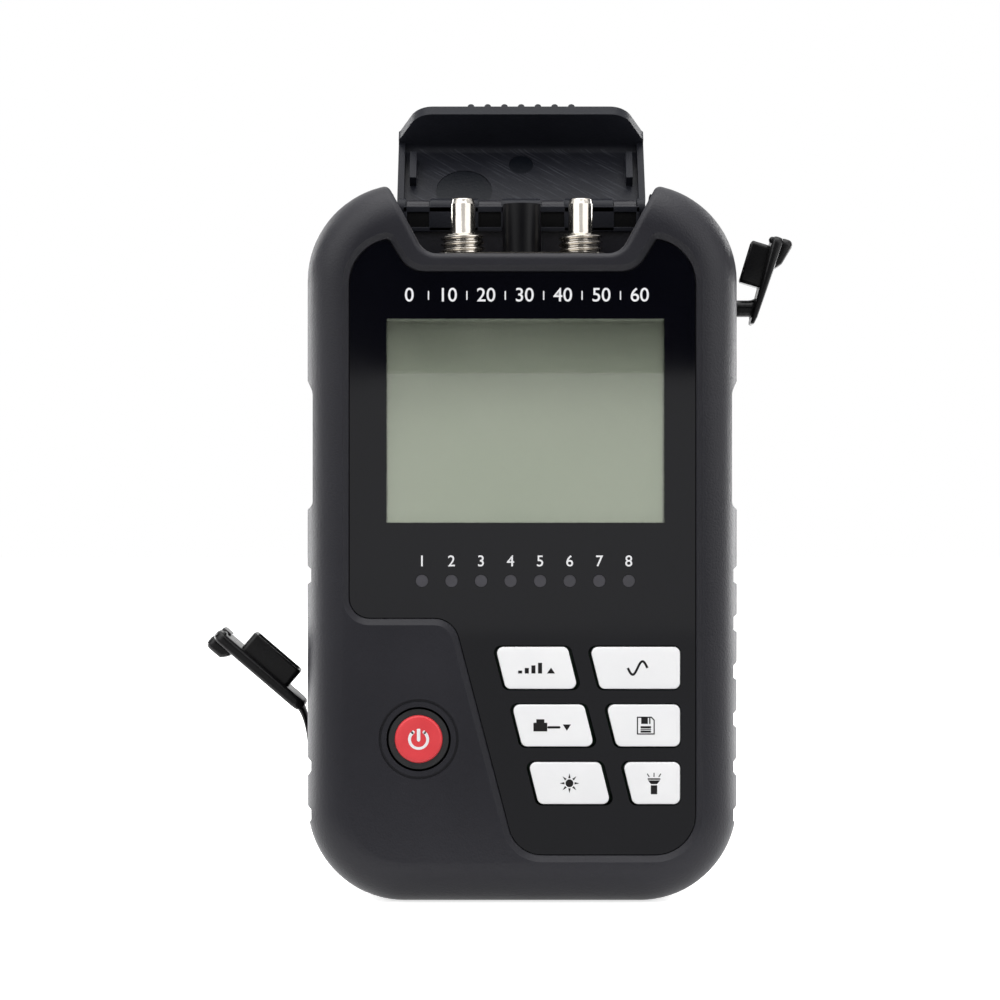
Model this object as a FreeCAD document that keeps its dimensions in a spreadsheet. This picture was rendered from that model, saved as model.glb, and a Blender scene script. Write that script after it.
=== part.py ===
import FreeCAD, Part
import math
import os
import re
import Sketcher
from FreeCAD import Placement, Rotation, Vector

# A hand-held optical power meter with a network cable tester and a torch.
#
# Millimetres. +Z is up the case, -Y is the display side, +X is the user's right.
# The origin is the middle of the flat bottom that the meter stands on.
# The port cap and both rubber covers are drawn closed, then turned to their open rest pose.

doc = FreeCAD.newDocument("optical_power_meter")

# ---------------------------------------------------------------------------
# Driving dimensions
# ---------------------------------------------------------------------------
SIZES = [
    # case
    ("case_width", 75.4, "widest, at the seam"),
    ("case_height", 125.7, "flat bottom to ear peaks"),
    ("front_depth", 15.5, "seam to front rim"),
    ("back_depth", 15.5, "seam to back face"),
    ("corner_radius", 17.0, "four corners seen from the front"),
    ("front_rim_radius", 7.4, "rounding of the front rim"),
    ("back_rim_radius", 6.0, "rounding of the back rim"),
    ("seam_bevel", 0.25, "both halves, along the parting line"),
    ("wall", 2.2, "case wall"),
    ("waist_depth", 1.1, "side hollow for the hand"),
    ("waist_bottom", 68.0, "lower end of the hollow"),
    ("waist_top", 91.0, "upper end of the hollow"),
    ("grip_pitch", 8.4, "between grip notches"),
    ("grip_first", 15.1, "height of the lowest notch"),
    ("grip_width", 3.6, "notch mouth"),
    ("grip_depth", 0.8, "notch depth"),
    # the notch between the ears
    ("notch_floor", 113.1, "height of the port floor"),
    ("notch_half_bottom", 17.0, "half width at the floor"),
    ("notch_half_top", 23.7, "half width at the ear peaks"),
    ("notch_round", 3.6, "floor corners"),
    ("notch_edge", 1.2, "rounding of the front edge"),
    ("notch_back_half", 23.2, "half width round the cap hinge"),
    ("notch_back_start", 6.0, "wall behind the ports"),
    ("hinge_wall", 1.6, "thickness of that wall"),
    ("hinge_room", 5.3, "radius kept free round the hinge"),
    # display panel
    ("panel_step", 1.0, "panel face below the rim"),
    ("panel_thickness", 1.2, "acrylic sheet"),
    ("panel_gap", 0.15, "round the sheet"),
    ("panel_bevel", 1.1, "slope from the rim down to the sheet"),
    ("panel_half", 30.0, "half width"),
    ("panel_bottom", 8.7, "lower edge"),
    ("panel_step_height", 49.8, "edge above the power key"),
    ("panel_top", 109.8, "edge under the ports"),
    ("panel_ear_x", 23.3, "ear peak"),
    ("panel_ear_height", 115.5, "ear peak"),
    ("panel_ear_drop", 1.7, "ear peak to the upper corners"),
    ("panel_ear_foot", 19.8, "where the upper edge turns up to an ear"),
    ("panel_foot_x", 1.05, "lower left corner, left of the middle"),
    ("panel_slant", 0.2635, "sideways run of the lower left edge per height"),
    ("web", 1.5, "case wall behind the panel"),
    ("window_x", 0.5, "window centre"),
    ("window_z", 84.0, "window centre"),
    ("window_width", 48.2, "clear window"),
    ("window_height", 35.4, "clear window"),
    ("lamp_pitch", 5.13, "between indicator lamps"),
    ("lamp_height", 56.2, "row of lamps"),
    ("lamp_diameter", 2.1, "light pipe"),
    # keys
    ("key_height", 7.0, "six white keys"),
    ("key_width", 12.9, "left column"),
    ("key_left", -3.95, "left edge of the top left key at mid height"),
    ("key_right", 27.1, "right edge of the right column"),
    ("key_space", 3.5, "between the columns"),
    ("key_row_top", 41.1, "centre of the top row"),
    ("key_row_pitch", 10.0, "between rows"),
    ("key_row_shift", 2.85, "each row starts this much further right"),
    ("key_slant", 0.26, "sideways run of a slanted edge per height"),
    ("key_round", 0.9, "corners"),
    ("key_gap", 0.4, "round each key"),
    ("key_proud", 0.3, "key face above the panel"),
    ("key_travel", 0.9, "press"),
    ("key_flange", 0.8, "lip that stops a key"),
    ("mat_thickness", 0.7, "rubber sheet under the web"),
    ("power_x", -18.0, "power key"),
    ("power_z", 28.8, "power key"),
    ("power_cap_diameter", 8.3, "red disc"),
    ("power_collar_diameter", 10.4, "rubber collar"),
    # inside
    ("board_front", -6.4, "front face of the board"),
    ("board_thickness", 1.6, "circuit board"),
    ("chip_height", 85.0, "centre of the control chip"),
    ("buzzer_height", 83.0, "centre of the buzzer"),
    ("boss_diameter", 6.0, "screw posts"),
    ("boss_x", 31.0, "screw posts"),
    ("boss_low", 16.0, "lower pair"),
    ("boss_high", 98.0, "upper pair"),
    ("screw_diameter", 2.6, "case screws"),
    # ports
    ("port_x", 10.5, "either side of the middle"),
    ("thread_diameter", 7.9, "adapter thread"),
    ("thread_top", 117.7, "end of the thread"),
    ("sleeve_diameter", 4.5, "adapter sleeve"),
    ("sleeve_top", 124.0, "end of the sleeve"),
    ("ferrule_diameter", 2.5, "bore that takes a ferrule"),
    ("ceramic_diameter", 3.2, "alignment sleeve"),
    ("torch_diameter", 6.8, "torch tube"),
    ("torch_top", 123.0, "end of the tube"),
    ("bracket_thickness", 1.0, "nickel strip"),
    # port cap
    ("cap_half", 22.7, "half width of the lid"),
    ("cap_gap", 0.4, "between the cap and the ears"),
    ("cap_wall", 2.0, "lid and front wall"),
    ("cap_rim", 1.2, "width of the ribs along the lid's sides"),
    ("cap_rim_depth", 1.6, "how far those ribs reach in"),
    ("cap_front", 18.8, "hinge to the front face"),
    ("cap_drop", 11.2, "height of the front wall"),
    ("cap_tail", 3.4, "lid behind the hinge"),
    ("cap_axis_y", 11.0, "hinge"),
    ("cap_axis_z", 123.0, "hinge"),
    ("cap_open_angle", 127.0, "rest pose"),
    ("cap_ledge", 1.3, "rebate in the case for the front wall"),
    ("cap_corner", 4.5, "free corners of the front wall"),
    ("knuckle_radius", 1.9, "case knuckles"),
    ("knuckle_width", 4.0, "case knuckles"),
    ("knuckle_inner", 5.7, "inner pair"),
    ("knuckle_outer", 18.8, "outer pair"),
    ("barrel_radius", 2.2, "lid barrels"),
    ("hinge_pin_diameter", 1.6, "steel pin"),
    # network jack and its cover
    ("jack_y", 2.0, "centre"),
    ("jack_z", 43.8, "centre"),
    ("jack_opening", 12.6, "case opening, along Z"),
    ("jack_opening_depth", 8.8, "case opening, along Y"),
    ("jack_axis_x", 38.0, "cover hinge, left of the middle"),
    ("jack_axis_z", 32.4, "cover hinge"),
    ("jack_cover_angle", 49.5, "rest pose"),
    ("cover_thickness", 1.8, "rubber covers"),
    # charge socket and its cover
    ("socket_z", 111.9, "centre"),
    ("stalk_z", 104.4, "stalk of the cover"),
    ("stalk_pull", 2.8, "pulled out at rest"),
    ("stalk_diameter", 2.8, "thick part of the stalk"),
    ("stalk_gap", 0.2, "between the stalk and its hole"),
    ("socket_cover_angle", 17.0, "rest pose"),
    # battery
    ("bay_half", 20.0, "half width of the bay"),
    ("bay_bottom", 16.4, "bay"),
    ("bay_top", 67.0, "bay"),
    ("bay_floor", 4.6, "bay floor from the seam"),
    ("door_half", 21.8, "half width of the door"),
    ("door_top", 69.0, "upper edge"),
    ("door_thickness", 2.0, "door"),
    ("door_axis_z", 15.0, "toes"),
    ("door_gap", 0.2, "round the door"),
]
dim = doc.addObject("Spreadsheet::Sheet", "dim")
for row, (alias, amount, note) in enumerate(SIZES, start=1):
    dim.set(f"A{row}", alias)
    dim.set(f"B{row}", str(amount))
    dim.set(f"C{row}", note)
    dim.setAlias(f"B{row}", alias)
doc.recompute()


# ---------------------------------------------------------------------------
# Drawing helpers: every size is an expression that reads the sheet
# ---------------------------------------------------------------------------
PLANES = {"front": ("XZ_Plane", -1), "top": ("XY_Plane", 1), "side": ("YZ_Plane", 1)}


def number(expression):
    """The present value of an expression in the sheet's own words."""
    return float(dim.evalExpression(expression))


def tie(thing, place, expression):
    """Bind one property to the sheet; each of the sheet's words gets the sheet's name in front."""
    words = "|".join(alias for alias, _, _ in SIZES)
    thing.setExpression(place, re.sub(rf"\b({words})\b", r"dim.\1", expression))


def bind(sketch, constraint, expression):
    index = sketch.addConstraint(constraint)
    tie(sketch, f"Constraints[{index}]", expression)


def pin(sketch, geometry, position, across, up):
    """Hold one point of a sketch at two expressions."""
    bind(sketch, Sketcher.Constraint("DistanceX", geometry, position, number(across)), across)
    bind(sketch, Sketcher.Constraint("DistanceY", geometry, position, number(up)), up)


def circle(sketch, across, up, diameter):
    centre = Vector(number(across), number(up), 0)
    ring = Part.Circle(centre, Vector(0, 0, 1), number(diameter) / 2)
    index = sketch.addGeometry(ring)
    bind(sketch, Sketcher.Constraint("Diameter", index, number(diameter)), diameter)
    pin(sketch, index, 3, across, up)


def outline(sketch, corners):
    """A closed outline of (across, up, radius) corners, radius None where the corner is sharp."""
    count = len(corners)
    points = [Vector(number(across), number(up), 0) for across, up, _ in corners]
    starts, ends, bulges = [], [], []
    for i, (_, _, radius) in enumerate(corners):
        back = (points[i - 1] - points[i]).normalize()
        ahead = (points[(i + 1) % count] - points[i]).normalize()
        size = number(radius) if radius else 0.0
        half = back.getAngle(ahead) / 2
        middle = points[i] + (back + ahead).normalize() * (size / math.sin(half)) if size else points[i]
        starts.append(points[i] + back * (size / math.tan(half)))
        ends.append(points[i] + ahead * (size / math.tan(half)))
        bulges.append(middle + (points[i] - middle).normalize() * size if size else points[i])
    sides = [sketch.addGeometry(Part.LineSegment(ends[i], starts[(i + 1) % count])) for i in range(count)]
    for i, (across, up, radius) in enumerate(corners):
        before, after = sides[i - 1], sides[i]
        if not radius:
            sketch.addConstraint(Sketcher.Constraint("Coincident", before, 2, after, 1))
            pin(sketch, after, 1, across, up)
            continue
        arc = sketch.addGeometry(Part.Arc(starts[i], bulges[i], ends[i]))
        first = 1 if (sketch.getPoint(arc, 1) - starts[i]).Length < 1e-6 else 2
        sketch.addConstraint(Sketcher.Constraint("Tangent", before, 2, arc, first))
        sketch.addConstraint(Sketcher.Constraint("Tangent", after, 1, arc, 3 - first))
        bind(sketch, Sketcher.Constraint("Radius", arc, number(radius)), radius)
        corner = sketch.addGeometry(Part.Point(points[i]), True)
        pin(sketch, corner, 1, across, up)
        sketch.addConstraint(Sketcher.Constraint("PointOnObject", corner, 1, before))
        sketch.addConstraint(Sketcher.Constraint("PointOnObject", corner, 1, after))


def box(left, right, low, high, radius=None):
    """The four corners of a rectangle."""
    return [(left, low, radius), (right, low, radius), (right, high, radius), (left, high, radius)]


def frame(half_width, low, high, radius=None):
    """A rectangle that is even about the middle."""
    return box(f"-({half_width})", half_width, low, high, radius)


def hollow(inset, low, high):
    """A room inside the case: its lower corners follow the case's, its upper ones are tight."""
    left, right, round_low = f"-({inset})", inset, f"corner_radius - ({half} - ({inset}))"
    return [(left, low, round_low), (right, low, round_low), (right, high, "3"), (left, high, "3")]


def mirrored(corners):
    """The same outline on the other side of the middle, in the same turning sense."""
    return [(f"-({across})", up, radius) for across, up, radius in reversed(corners)]


def new_body(label):
    body = doc.addObject("PartDesign::Body", label)
    body.Label = label
    PIECES.append(body)
    return body


def drawing(body, name, plane, height, loops):
    """A sketch on one of the body's own planes, moved to a height along that plane's axis."""
    role, sense = PLANES[plane]
    sketch = body.newObject("Sketcher::SketchObject", name + "_sketch")
    support = next(face for face in body.Origin.OriginFeatures if face.Role == role)
    sketch.AttachmentSupport = [(support, "")]
    sketch.MapMode = "FlatFace"
    tie(sketch, "AttachmentOffset.Base.z", f"{sense} * ({height})")
    for loop in loops:
        if isinstance(loop, tuple):
            circle(sketch, *loop)
        else:
            outline(sketch, loop)
    sketch.recompute()
    sketch.purgeTouched()
    return sketch


def settle(body, feature, before, cut):
    """Rebuild one feature and make sure that it did something."""
    feature.recompute()
    feature.purgeTouched()
    after = feature.Shape.Volume
    if (after > before - 1e-4) if cut else (after < before + 1e-4):
        raise RuntimeError(f"{body.Label}: {feature.Name} changes nothing")
    return feature


def extrude(body, name, plane, loops, start, end, cut=False):
    """Pad or pocket an outline from one height to another."""
    before = body.Tip.Shape.Volume if body.Tip else 0.0
    sketch = drawing(body, name, plane, start, loops)
    feature = body.newObject("PartDesign::Pocket" if cut else "PartDesign::Pad", name)
    feature.Profile = sketch
    away = PLANES[plane][1] * (number(end) - number(start)) > 0
    feature.Reversed = away if cut else not away
    tie(feature, "Length", f"abs(({end}) - ({start}))")
    return settle(body, feature, before, cut)


def cut_between(body, name, plane, near, near_height, far, far_height):
    """Cut away everything between two like outlines at two heights."""
    before = body.Tip.Shape.Volume
    first = drawing(body, name + "_near", plane, near_height, [near])
    second = drawing(body, name + "_far", plane, far_height, [far])
    feature = body.newObject("PartDesign::SubtractiveLoft", name)
    feature.Profile = first
    feature.Sections = [second]
    feature.Ruled = True
    return settle(body, feature, before, True)


def spin(body, name, plane, loop, axis, cut=False):
    """Turn an outline once round a sketch axis, V_Axis or H_Axis."""
    before = body.Tip.Shape.Volume if body.Tip else 0.0
    sketch = drawing(body, name, plane, "0", [loop])
    feature = body.newObject("PartDesign::Groove" if cut else "PartDesign::Revolution", name)
    feature.Profile = sketch
    feature.ReferenceAxis = (sketch, [axis])
    feature.Angle = 360
    return settle(body, feature, before, cut)


def repeat(body, name, feature, direction, spacing, count):
    """Repeat a feature in a straight row along a sketch axis."""
    pattern = body.newObject("PartDesign::LinearPattern", name)
    pattern.Originals = [feature]
    pattern.Direction = (feature.Profile[0], [direction])
    tie(pattern, "Length", f"({spacing}) * {count - 1}")
    pattern.Occurrences = count
    body.Tip = pattern
    pattern.recompute()
    pattern.purgeTouched()
    return pattern


def soften(body, name, radius, wanted, kind="Fillet"):
    """Round or bevel the edges of the body that a test picks out."""
    shape = body.Tip.Shape
    edges = [f"Edge{i}" for i, edge in enumerate(shape.Edges, start=1) if wanted(edge.BoundBox, edge)]
    if not edges:
        raise RuntimeError(f"{body.Label}: {name} finds no edge")
    feature = body.newObject(f"PartDesign::{kind}", name)
    feature.Base = (body.Tip if body.Tip != feature else feature.BaseFeature, edges)
    tie(feature, "Radius" if kind == "Fillet" else "Size", radius)
    feature.recompute()
    feature.purgeTouched()
    return feature


def at(value, expression):
    return abs(value - number(expression)) < 1e-3


def turn(body, axis, degrees, centre):
    """Swing a finished body about a hinge line."""
    body.Placement = Placement(Vector(), Rotation(axis, degrees), centre).multiply(body.Placement)


def block(label, left, right, front, back, low, high):
    """A Part box between six expressions."""
    solid = doc.addObject("Part::Box", label)
    solid.Label = label
    tie(solid, "Length", f"({right}) - ({left})")
    tie(solid, "Width", f"({back}) - ({front})")
    tie(solid, "Height", f"({high}) - ({low})")
    tie(solid, "Placement.Base.x", left)
    tie(solid, "Placement.Base.y", front)
    tie(solid, "Placement.Base.z", low)
    return solid


def rod(label, axis, diameter, start, length, places):
    """A Part cylinder along X, Y or Z; places gives its centre across the other two axes."""
    turns = {"X": Rotation(Vector(0, 1, 0), 90), "Y": Rotation(Vector(1, 0, 0), -90), "Z": Rotation()}
    solid = doc.addObject("Part::Cylinder", label)
    solid.Label = label
    solid.Placement = Placement(Vector(), turns[axis])
    tie(solid, "Radius", f"({diameter}) / 2")
    tie(solid, "Height", length)
    others = [letter for letter in "xyz" if letter != axis.lower()]
    tie(solid, f"Placement.Base.{axis.lower()}", start)
    for letter, place in zip(others, places):
        tie(solid, f"Placement.Base.{letter}", place)
    return solid


def join(label, solids):
    whole = doc.addObject("Part::MultiFuse", label)
    whole.Label = label
    whole.Shapes = solids
    return whole


def take(label, solid, tools):
    """A solid with one or more tools cut from it."""
    tool = tools[0] if len(tools) == 1 else join(label + "_tools", tools)
    rest = doc.addObject("Part::Cut", label)
    rest.Label = label
    rest.Base = solid
    rest.Tool = tool
    return rest


def keep(solid):
    """Hand in a Part solid as a sub-part."""
    PIECES.append(solid)
    return solid


PIECES = []

# ---------------------------------------------------------------------------
# Front half of the case
# ---------------------------------------------------------------------------
half = "case_width / 2"
floor_under = "notch_floor - wall"
panel_face = "panel_step - front_depth"
panel_back = "panel_step + panel_thickness - front_depth"
web_back = "panel_step + panel_thickness + web - front_depth"
case_outline = box("-case_width / 2", half, "0", "case_height", "corner_radius")
waist = [
    ("case_width / 2 - waist_depth", "waist_bottom + 1.4", "1.5"),
    ("case_width / 2 + 2", "waist_bottom - 1.2", None),
    ("case_width / 2 + 2", "waist_top + 4.0", None),
    ("case_width / 2 - waist_depth", "waist_top - 1.8", "3"),
]
grip = [
    ("case_width / 2 - grip_depth", "grip_first - grip_width / 2 + 0.7", None),
    ("case_width / 2 + 1", "grip_first - grip_width / 2 - 0.6", None),
    ("case_width / 2 + 1", "grip_first + grip_width / 2 + 0.6", None),
    ("case_width / 2 - grip_depth", "grip_first + grip_width / 2 - 0.7", None),
]
notch_run = "(notch_half_top - notch_half_bottom) / (case_height - notch_floor)"
notch_over = "notch_half_top + 5 * " + notch_run
notch = [
    ("-notch_half_bottom", "notch_floor", "notch_round"),
    ("notch_half_bottom", "notch_floor", "notch_round"),
    (notch_over, "case_height + 5", None),
    (f"-({notch_over})", "case_height + 5", None),
]
cap_rebate = [
    ("-(notch_half_bottom + cap_ledge)", "notch_floor", "notch_round"),
    ("notch_half_bottom + cap_ledge", "notch_floor", "notch_round"),
    (f"{notch_over} + cap_ledge", "case_height + 5", None),
    (f"-({notch_over} + cap_ledge)", "case_height + 5", None),
]
BOSSES = [(f"{side} boss_x", height) for side in ("-", "") for height in ("boss_low", "boss_high")]


def shell(label, depth, sense, rim, notch_end, rebate_end):
    """One half of the case: outside form, hand hollows, grip notches, and the notch for the ports
    with a rebate behind its front edge for the cap."""
    body = new_body(label)
    face = f"{sense} {depth}"
    extrude(body, label + "_form", "front", [case_outline], "0", face)
    soften(body, label + "_rim", rim, lambda b, e: at(b.YMin, face) and at(b.YMax, face))
    soften(body, label + "_seam", "seam_bevel", lambda b, e: at(b.YMin, "0") and at(b.YMax, "0"), "Chamfer")
    beyond = f"{sense} ({depth} + 1)"
    extrude(body, label + "_waist", "front", [waist, mirrored(waist)], "0", beyond, cut=True)
    first = extrude(body, label + "_grip", "front", [grip], "0", beyond, cut=True)
    repeat(body, label + "_grips", first, "V_Axis", "grip_pitch", 6)
    for i, step in enumerate((0, 1, 5)):
        raised = [(f"-({x})", f"{z} + {step} * grip_pitch", r) for x, z, r in reversed(grip)]
        extrude(body, f"{label}_left_grip_{i}", "front", [raised], "0", beyond, cut=True)
    extrude(body, label + "_notch", "front", [notch], "0", notch_end, cut=True)
    extrude(body, label + "_rebate", "front", [cap_rebate], "0", rebate_end, cut=True)
    return body


def side_openings(body, label, sense, jack_end, seat_end):
    """The halves of the side openings that this half of the case carries: network jack and the seat of
    its cover on the left, charge socket and the stalk of its cover on the right."""
    jack = box(f"-({half}) - 1", f"wall + 1 - {half}",
               "jack_z - jack_opening / 2", "jack_z + jack_opening / 2", "0.6")
    extrude(body, label + "_jack_hole", "front", [jack], "0", jack_end, cut=True)
    seat = box(f"-({half}) - 1", f"1.3 - {half}", "jack_axis_z - 1.6", "jack_z + 11.6", "0.4")
    extrude(body, label + "_jack_seat", "front", [seat], "0", seat_end, cut=True)
    charge = box(f"{half} - wall - 10.2", f"{half} + 1", "socket_z - 4.9", "socket_z + 5.6", "0.5")
    extrude(body, label + "_charge_hole", "front", [charge], "0", f"{sense} 2.7", cut=True)
    reach = "(stalk_diameter / 2 + stalk_gap)"
    stalk = box(f"{half} - wall - 1", f"{half} + 1", f"stalk_z - {reach}", f"stalk_z + {reach}")
    extrude(body, label + "_stalk_hole", "front", [stalk], "0", f"{sense} {reach}", cut=True)


panel_outline = [
    ("-panel_foot_x", "panel_bottom", "5.8"),
    ("panel_half", "panel_bottom", "7"),
    ("panel_half", "panel_ear_height - panel_ear_drop", "7.8"),
    ("panel_ear_x", "panel_ear_height", "0.7"),
    ("panel_ear_foot", "panel_top", "5"),
    ("-panel_ear_foot", "panel_top", "5"),
    ("-panel_ear_x", "panel_ear_height", "0.7"),
    ("-panel_half", "panel_ear_height - panel_ear_drop", "7.8"),
    ("-panel_half", "panel_step_height", "3.5"),
    ("-panel_foot_x - (panel_step_height - panel_bottom) * panel_slant", "panel_step_height", "4.5"),
]


def swell(corners, amount):
    """Stand-off copy of the panel outline: every side moves outward by the same amount."""
    points = [(number(x), number(z)) for x, z, _ in corners]
    moved = []
    for i, (x, z, radius) in enumerate(corners):
        before, here, after = (Vector(*points[j % len(points)], 0) for j in (i - 1, i, i + 1))
        into = (here - before).normalize()
        out = (after - here).normalize()
        normal_in = Vector(into.y, -into.x, 0)
        normal_out = Vector(out.y, -out.x, 0)
        shift = (normal_in + normal_out) * (1 / (1 + normal_in.dot(normal_out)))
        convex = into.cross(out).z > 0
        moved.append((f"{x} + {shift.x:.6f} * ({amount})", f"{z} + {shift.y:.6f} * ({amount})",
                      f"{radius} + {'' if convex else '-'}({amount})"))
    return moved


def key_outline(column, row, grow="0"):
    """A key seen from the front: slanted left edge, and slanted or upright right edge."""
    low = f"key_row_top - {row} * key_row_pitch - key_height / 2 - ({grow})"
    high = f"key_row_top - {row} * key_row_pitch + key_height / 2 + ({grow})"
    lean = f"(key_height / 2 + ({grow})) * key_slant"
    start = f"key_left + {row} * key_row_shift"
    if column == 0:
        left, right, right_lean = start, f"{start} + key_width", lean
    else:
        left, right, right_lean = f"{start} + key_width + key_space", "key_right", "0"
    return [
        (f"{left} - ({grow}) + {lean}", low, f"key_round + ({grow})"),
        (f"{right} + ({grow}) + {right_lean}", low, f"key_round + ({grow})"),
        (f"{right} + ({grow}) - {right_lean}", high, f"key_round + ({grow})"),
        (f"{left} - ({grow}) - {lean}", high, f"key_round + ({grow})"),
    ]


KEYS = [
    ("key_reference", 0, 0), ("key_wavelength", 1, 0), ("key_cable_test", 0, 1),
    ("key_save", 1, 1), ("key_backlight", 0, 2), ("key_torch", 1, 2),
]
LAMPS = [(f"window_x + ({i} - 3.5) * lamp_pitch", "lamp_height") for i in range(8)]
window = box("window_x - window_width / 2", "window_x + window_width / 2",
             "window_z - window_height / 2", "window_z + window_height / 2")
window_wide = box("window_x - window_width / 2 - 1", "window_x + window_width / 2 + 1",
                  "window_z - window_height / 2 - 1", "window_z + window_height / 2 + 1", "0.5")

front_case = shell("front_case", "front_depth", "-", "front_rim_radius", "-(front_depth + 1)",
                   "cap_axis_y - cap_front - cap_gap")
soften(front_case, "notch_front_edge", "notch_edge",
       lambda b, e: b.ZMin > number("notch_floor") - 0.1 and b.YMin < number("cap_axis_y - cap_front") - 1
       and max(-b.XMin, b.XMax) < number("notch_half_top") + 0.1)
extrude(front_case, "cavity", "front",
        [hollow("case_width / 2 - wall", "wall", floor_under)], "0", "6.5 - front_depth", cut=True)
extrude(front_case, "deep_cavity", "front",
        [hollow("case_width / 2 - 7", "7", "notch_floor - 6")], "0", web_back, cut=True)
extrude(front_case, "panel_seat", "front", [swell(panel_outline, "panel_gap")],
        "-front_depth - 1", panel_back, cut=True)
cut_between(front_case, "panel_slope", "front", swell(panel_outline, "panel_gap"), f"{panel_face} + 0.1",
            swell(panel_outline, "panel_gap + panel_bevel * 1.2"), "-front_depth - 0.2 * (panel_step + 0.1)")
extrude(front_case, "window_hole", "front", [window_wide], "-front_depth", "-front_depth + 6", cut=True)
extrude(front_case, "key_holes", "front", [key_outline(c, r, "key_gap + 0.2") for _, c, r in KEYS],
        "-front_depth", "-front_depth + 6", cut=True)
extrude(front_case, "lamp_holes", "front", [(x, z, "lamp_diameter + 0.3") for x, z in LAMPS],
        "-front_depth", "-front_depth + 6", cut=True)
extrude(front_case, "power_hole", "front", [("power_x", "power_z", "power_collar_diameter + 0.8")],
        "-front_depth - 1", "-front_depth + 6", cut=True)
extrude(front_case, "power_ring", "front",
        [("power_x", "power_z", "power_collar_diameter + 3.5"),
         ("power_x", "power_z", "power_collar_diameter + 2.6")],
        "-front_depth - 1", "0.4 - front_depth", cut=True)
extrude(front_case, "boss_posts", "front", [(x, z, "boss_diameter") for x, z in BOSSES],
        "-0.05", f"{web_back} - 0.1")
extrude(front_case, "boss_pilots", "front", [(x, z, "screw_diameter - 0.1") for x, z in BOSSES],
        "0", "-8", cut=True)
for side, centre in (("left", "-port_x"), ("middle", "0"), ("right", "port_x")):
    wide = "torch_diameter + 0.3" if side == "middle" else "thread_diameter + 0.3"
    extrude(front_case, side + "_port_hole", "top", [(centre, "0", wide)],
            "notch_floor + 1", "notch_floor - wall - 1", cut=True)
side_openings(front_case, "front", "-", "jack_y - jack_opening_depth / 2", "jack_y - 5.6")

# ---------------------------------------------------------------------------
# Back half of the case: battery bay, hinge knuckles, screw wells
# ---------------------------------------------------------------------------
back_case = shell("back_case", "back_depth", "", "back_rim_radius", "notch_back_start", "notch_back_start")
extrude(back_case, "hinge_space", "front", [frame("notch_back_half", "cap_axis_z - 4", "case_height + 1")],
        "notch_back_start - 0.1", "back_depth + 1", cut=True)
extrude(back_case, "hinge_trough", "front",
        [frame("notch_back_half", "cap_axis_z - hinge_room", "case_height + 1")],
        "notch_back_start + hinge_wall", "back_depth + 1", cut=True)
extrude(back_case, "back_cavity", "front",
        [hollow("case_width / 2 - wall", "wall", floor_under)], "0", "back_depth - 5", cut=True)
extrude(back_case, "back_deep_cavity", "front",
        [hollow("case_width / 2 - 5", "5", "notch_floor - 5")], "0", "back_depth - wall", cut=True)
extrude(back_case, "bay_walls", "front", [frame("bay_half + 1.6", "bay_bottom - 3.2", "bay_top + 3.6")],
        "bay_floor - 1.6", "back_depth - wall + 0.1")
extrude(back_case, "door_seat", "front",
        [frame("door_half + door_gap", "door_axis_z - door_thickness / 2 - door_gap", "door_top + door_gap")],
        "back_depth + 1", "back_depth - door_thickness - door_gap", cut=True)
extrude(back_case, "bay", "front", [frame("bay_half", "bay_bottom", "bay_top", "1")],
        "back_depth + 1", "bay_floor", cut=True)
extrude(back_case, "toe_holes", "side",
        [("back_depth - door_thickness / 2", "door_axis_z", "1.5")],
        "-door_half - 1.6", "door_half + 1.6", cut=True)
extrude(back_case, "back_posts", "front", [(x, z, "boss_diameter") for x, z in BOSSES],
        "0.05", "back_depth - wall + 0.1")
extrude(back_case, "screw_holes", "front", [(x, z, "screw_diameter + 0.4") for x, z in BOSSES],
        "0", "back_depth + 1", cut=True)
extrude(back_case, "screw_wells", "front", [(x, z, "boss_diameter - 1.0") for x, z in BOSSES],
        "back_depth - 3.5", "back_depth + 1", cut=True)
for side, centre in (("left", "-port_x"), ("middle", "0"), ("right", "port_x")):
    wide = "torch_diameter + 0.3" if side == "middle" else "thread_diameter + 0.3"
    extrude(back_case, side + "_back_port_hole", "top", [(centre, "0", wide)],
            "notch_floor + 1", "notch_floor - wall - 1", cut=True)
side_openings(back_case, "back", "", "jack_y + jack_opening_depth / 2", "jack_y + 5.6")
strap_hole = box(f"-({half}) - 1", f"wall + 1 - {half}", "jack_axis_z - 5.2", "jack_axis_z - 2.8")
extrude(back_case, "strap_hole", "front", [strap_hole], "jack_y - 1.3", "jack_y + 1.3", cut=True)
knuckle = [
    ("cap_axis_y - 5", "notch_floor - 0.5", None),
    ("cap_axis_y - 1.7", "notch_floor - 0.5", None),
    ("cap_axis_y - 1.7", "cap_axis_z - 2.6", None),
    ("cap_axis_y - 0.2", "cap_axis_z - 1.2", None),
    ("cap_axis_y - 0.2", "cap_axis_z + 1.0", None),
    ("cap_axis_y - 2.2", "cap_axis_z + 0.9", "0.8"),
    ("cap_axis_y - 5", "cap_axis_z - 3", "2"),
]
for i, place in enumerate(("-knuckle_outer", "-knuckle_inner", "knuckle_inner", "knuckle_outer")):
    ends = (f"{place} - knuckle_width / 2", f"{place} + knuckle_width / 2")
    extrude(back_case, f"knuckle_post_{i}", "side", [knuckle], *ends)
    extrude(back_case, f"knuckle_eye_{i}", "side",
            [("cap_axis_y", "cap_axis_z", "knuckle_radius * 2")], *ends)
extrude(back_case, "knuckle_bore", "side", [("cap_axis_y", "cap_axis_z", "hinge_pin_diameter + 0.1")],
        "-notch_back_half", "notch_back_half", cut=True)

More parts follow.
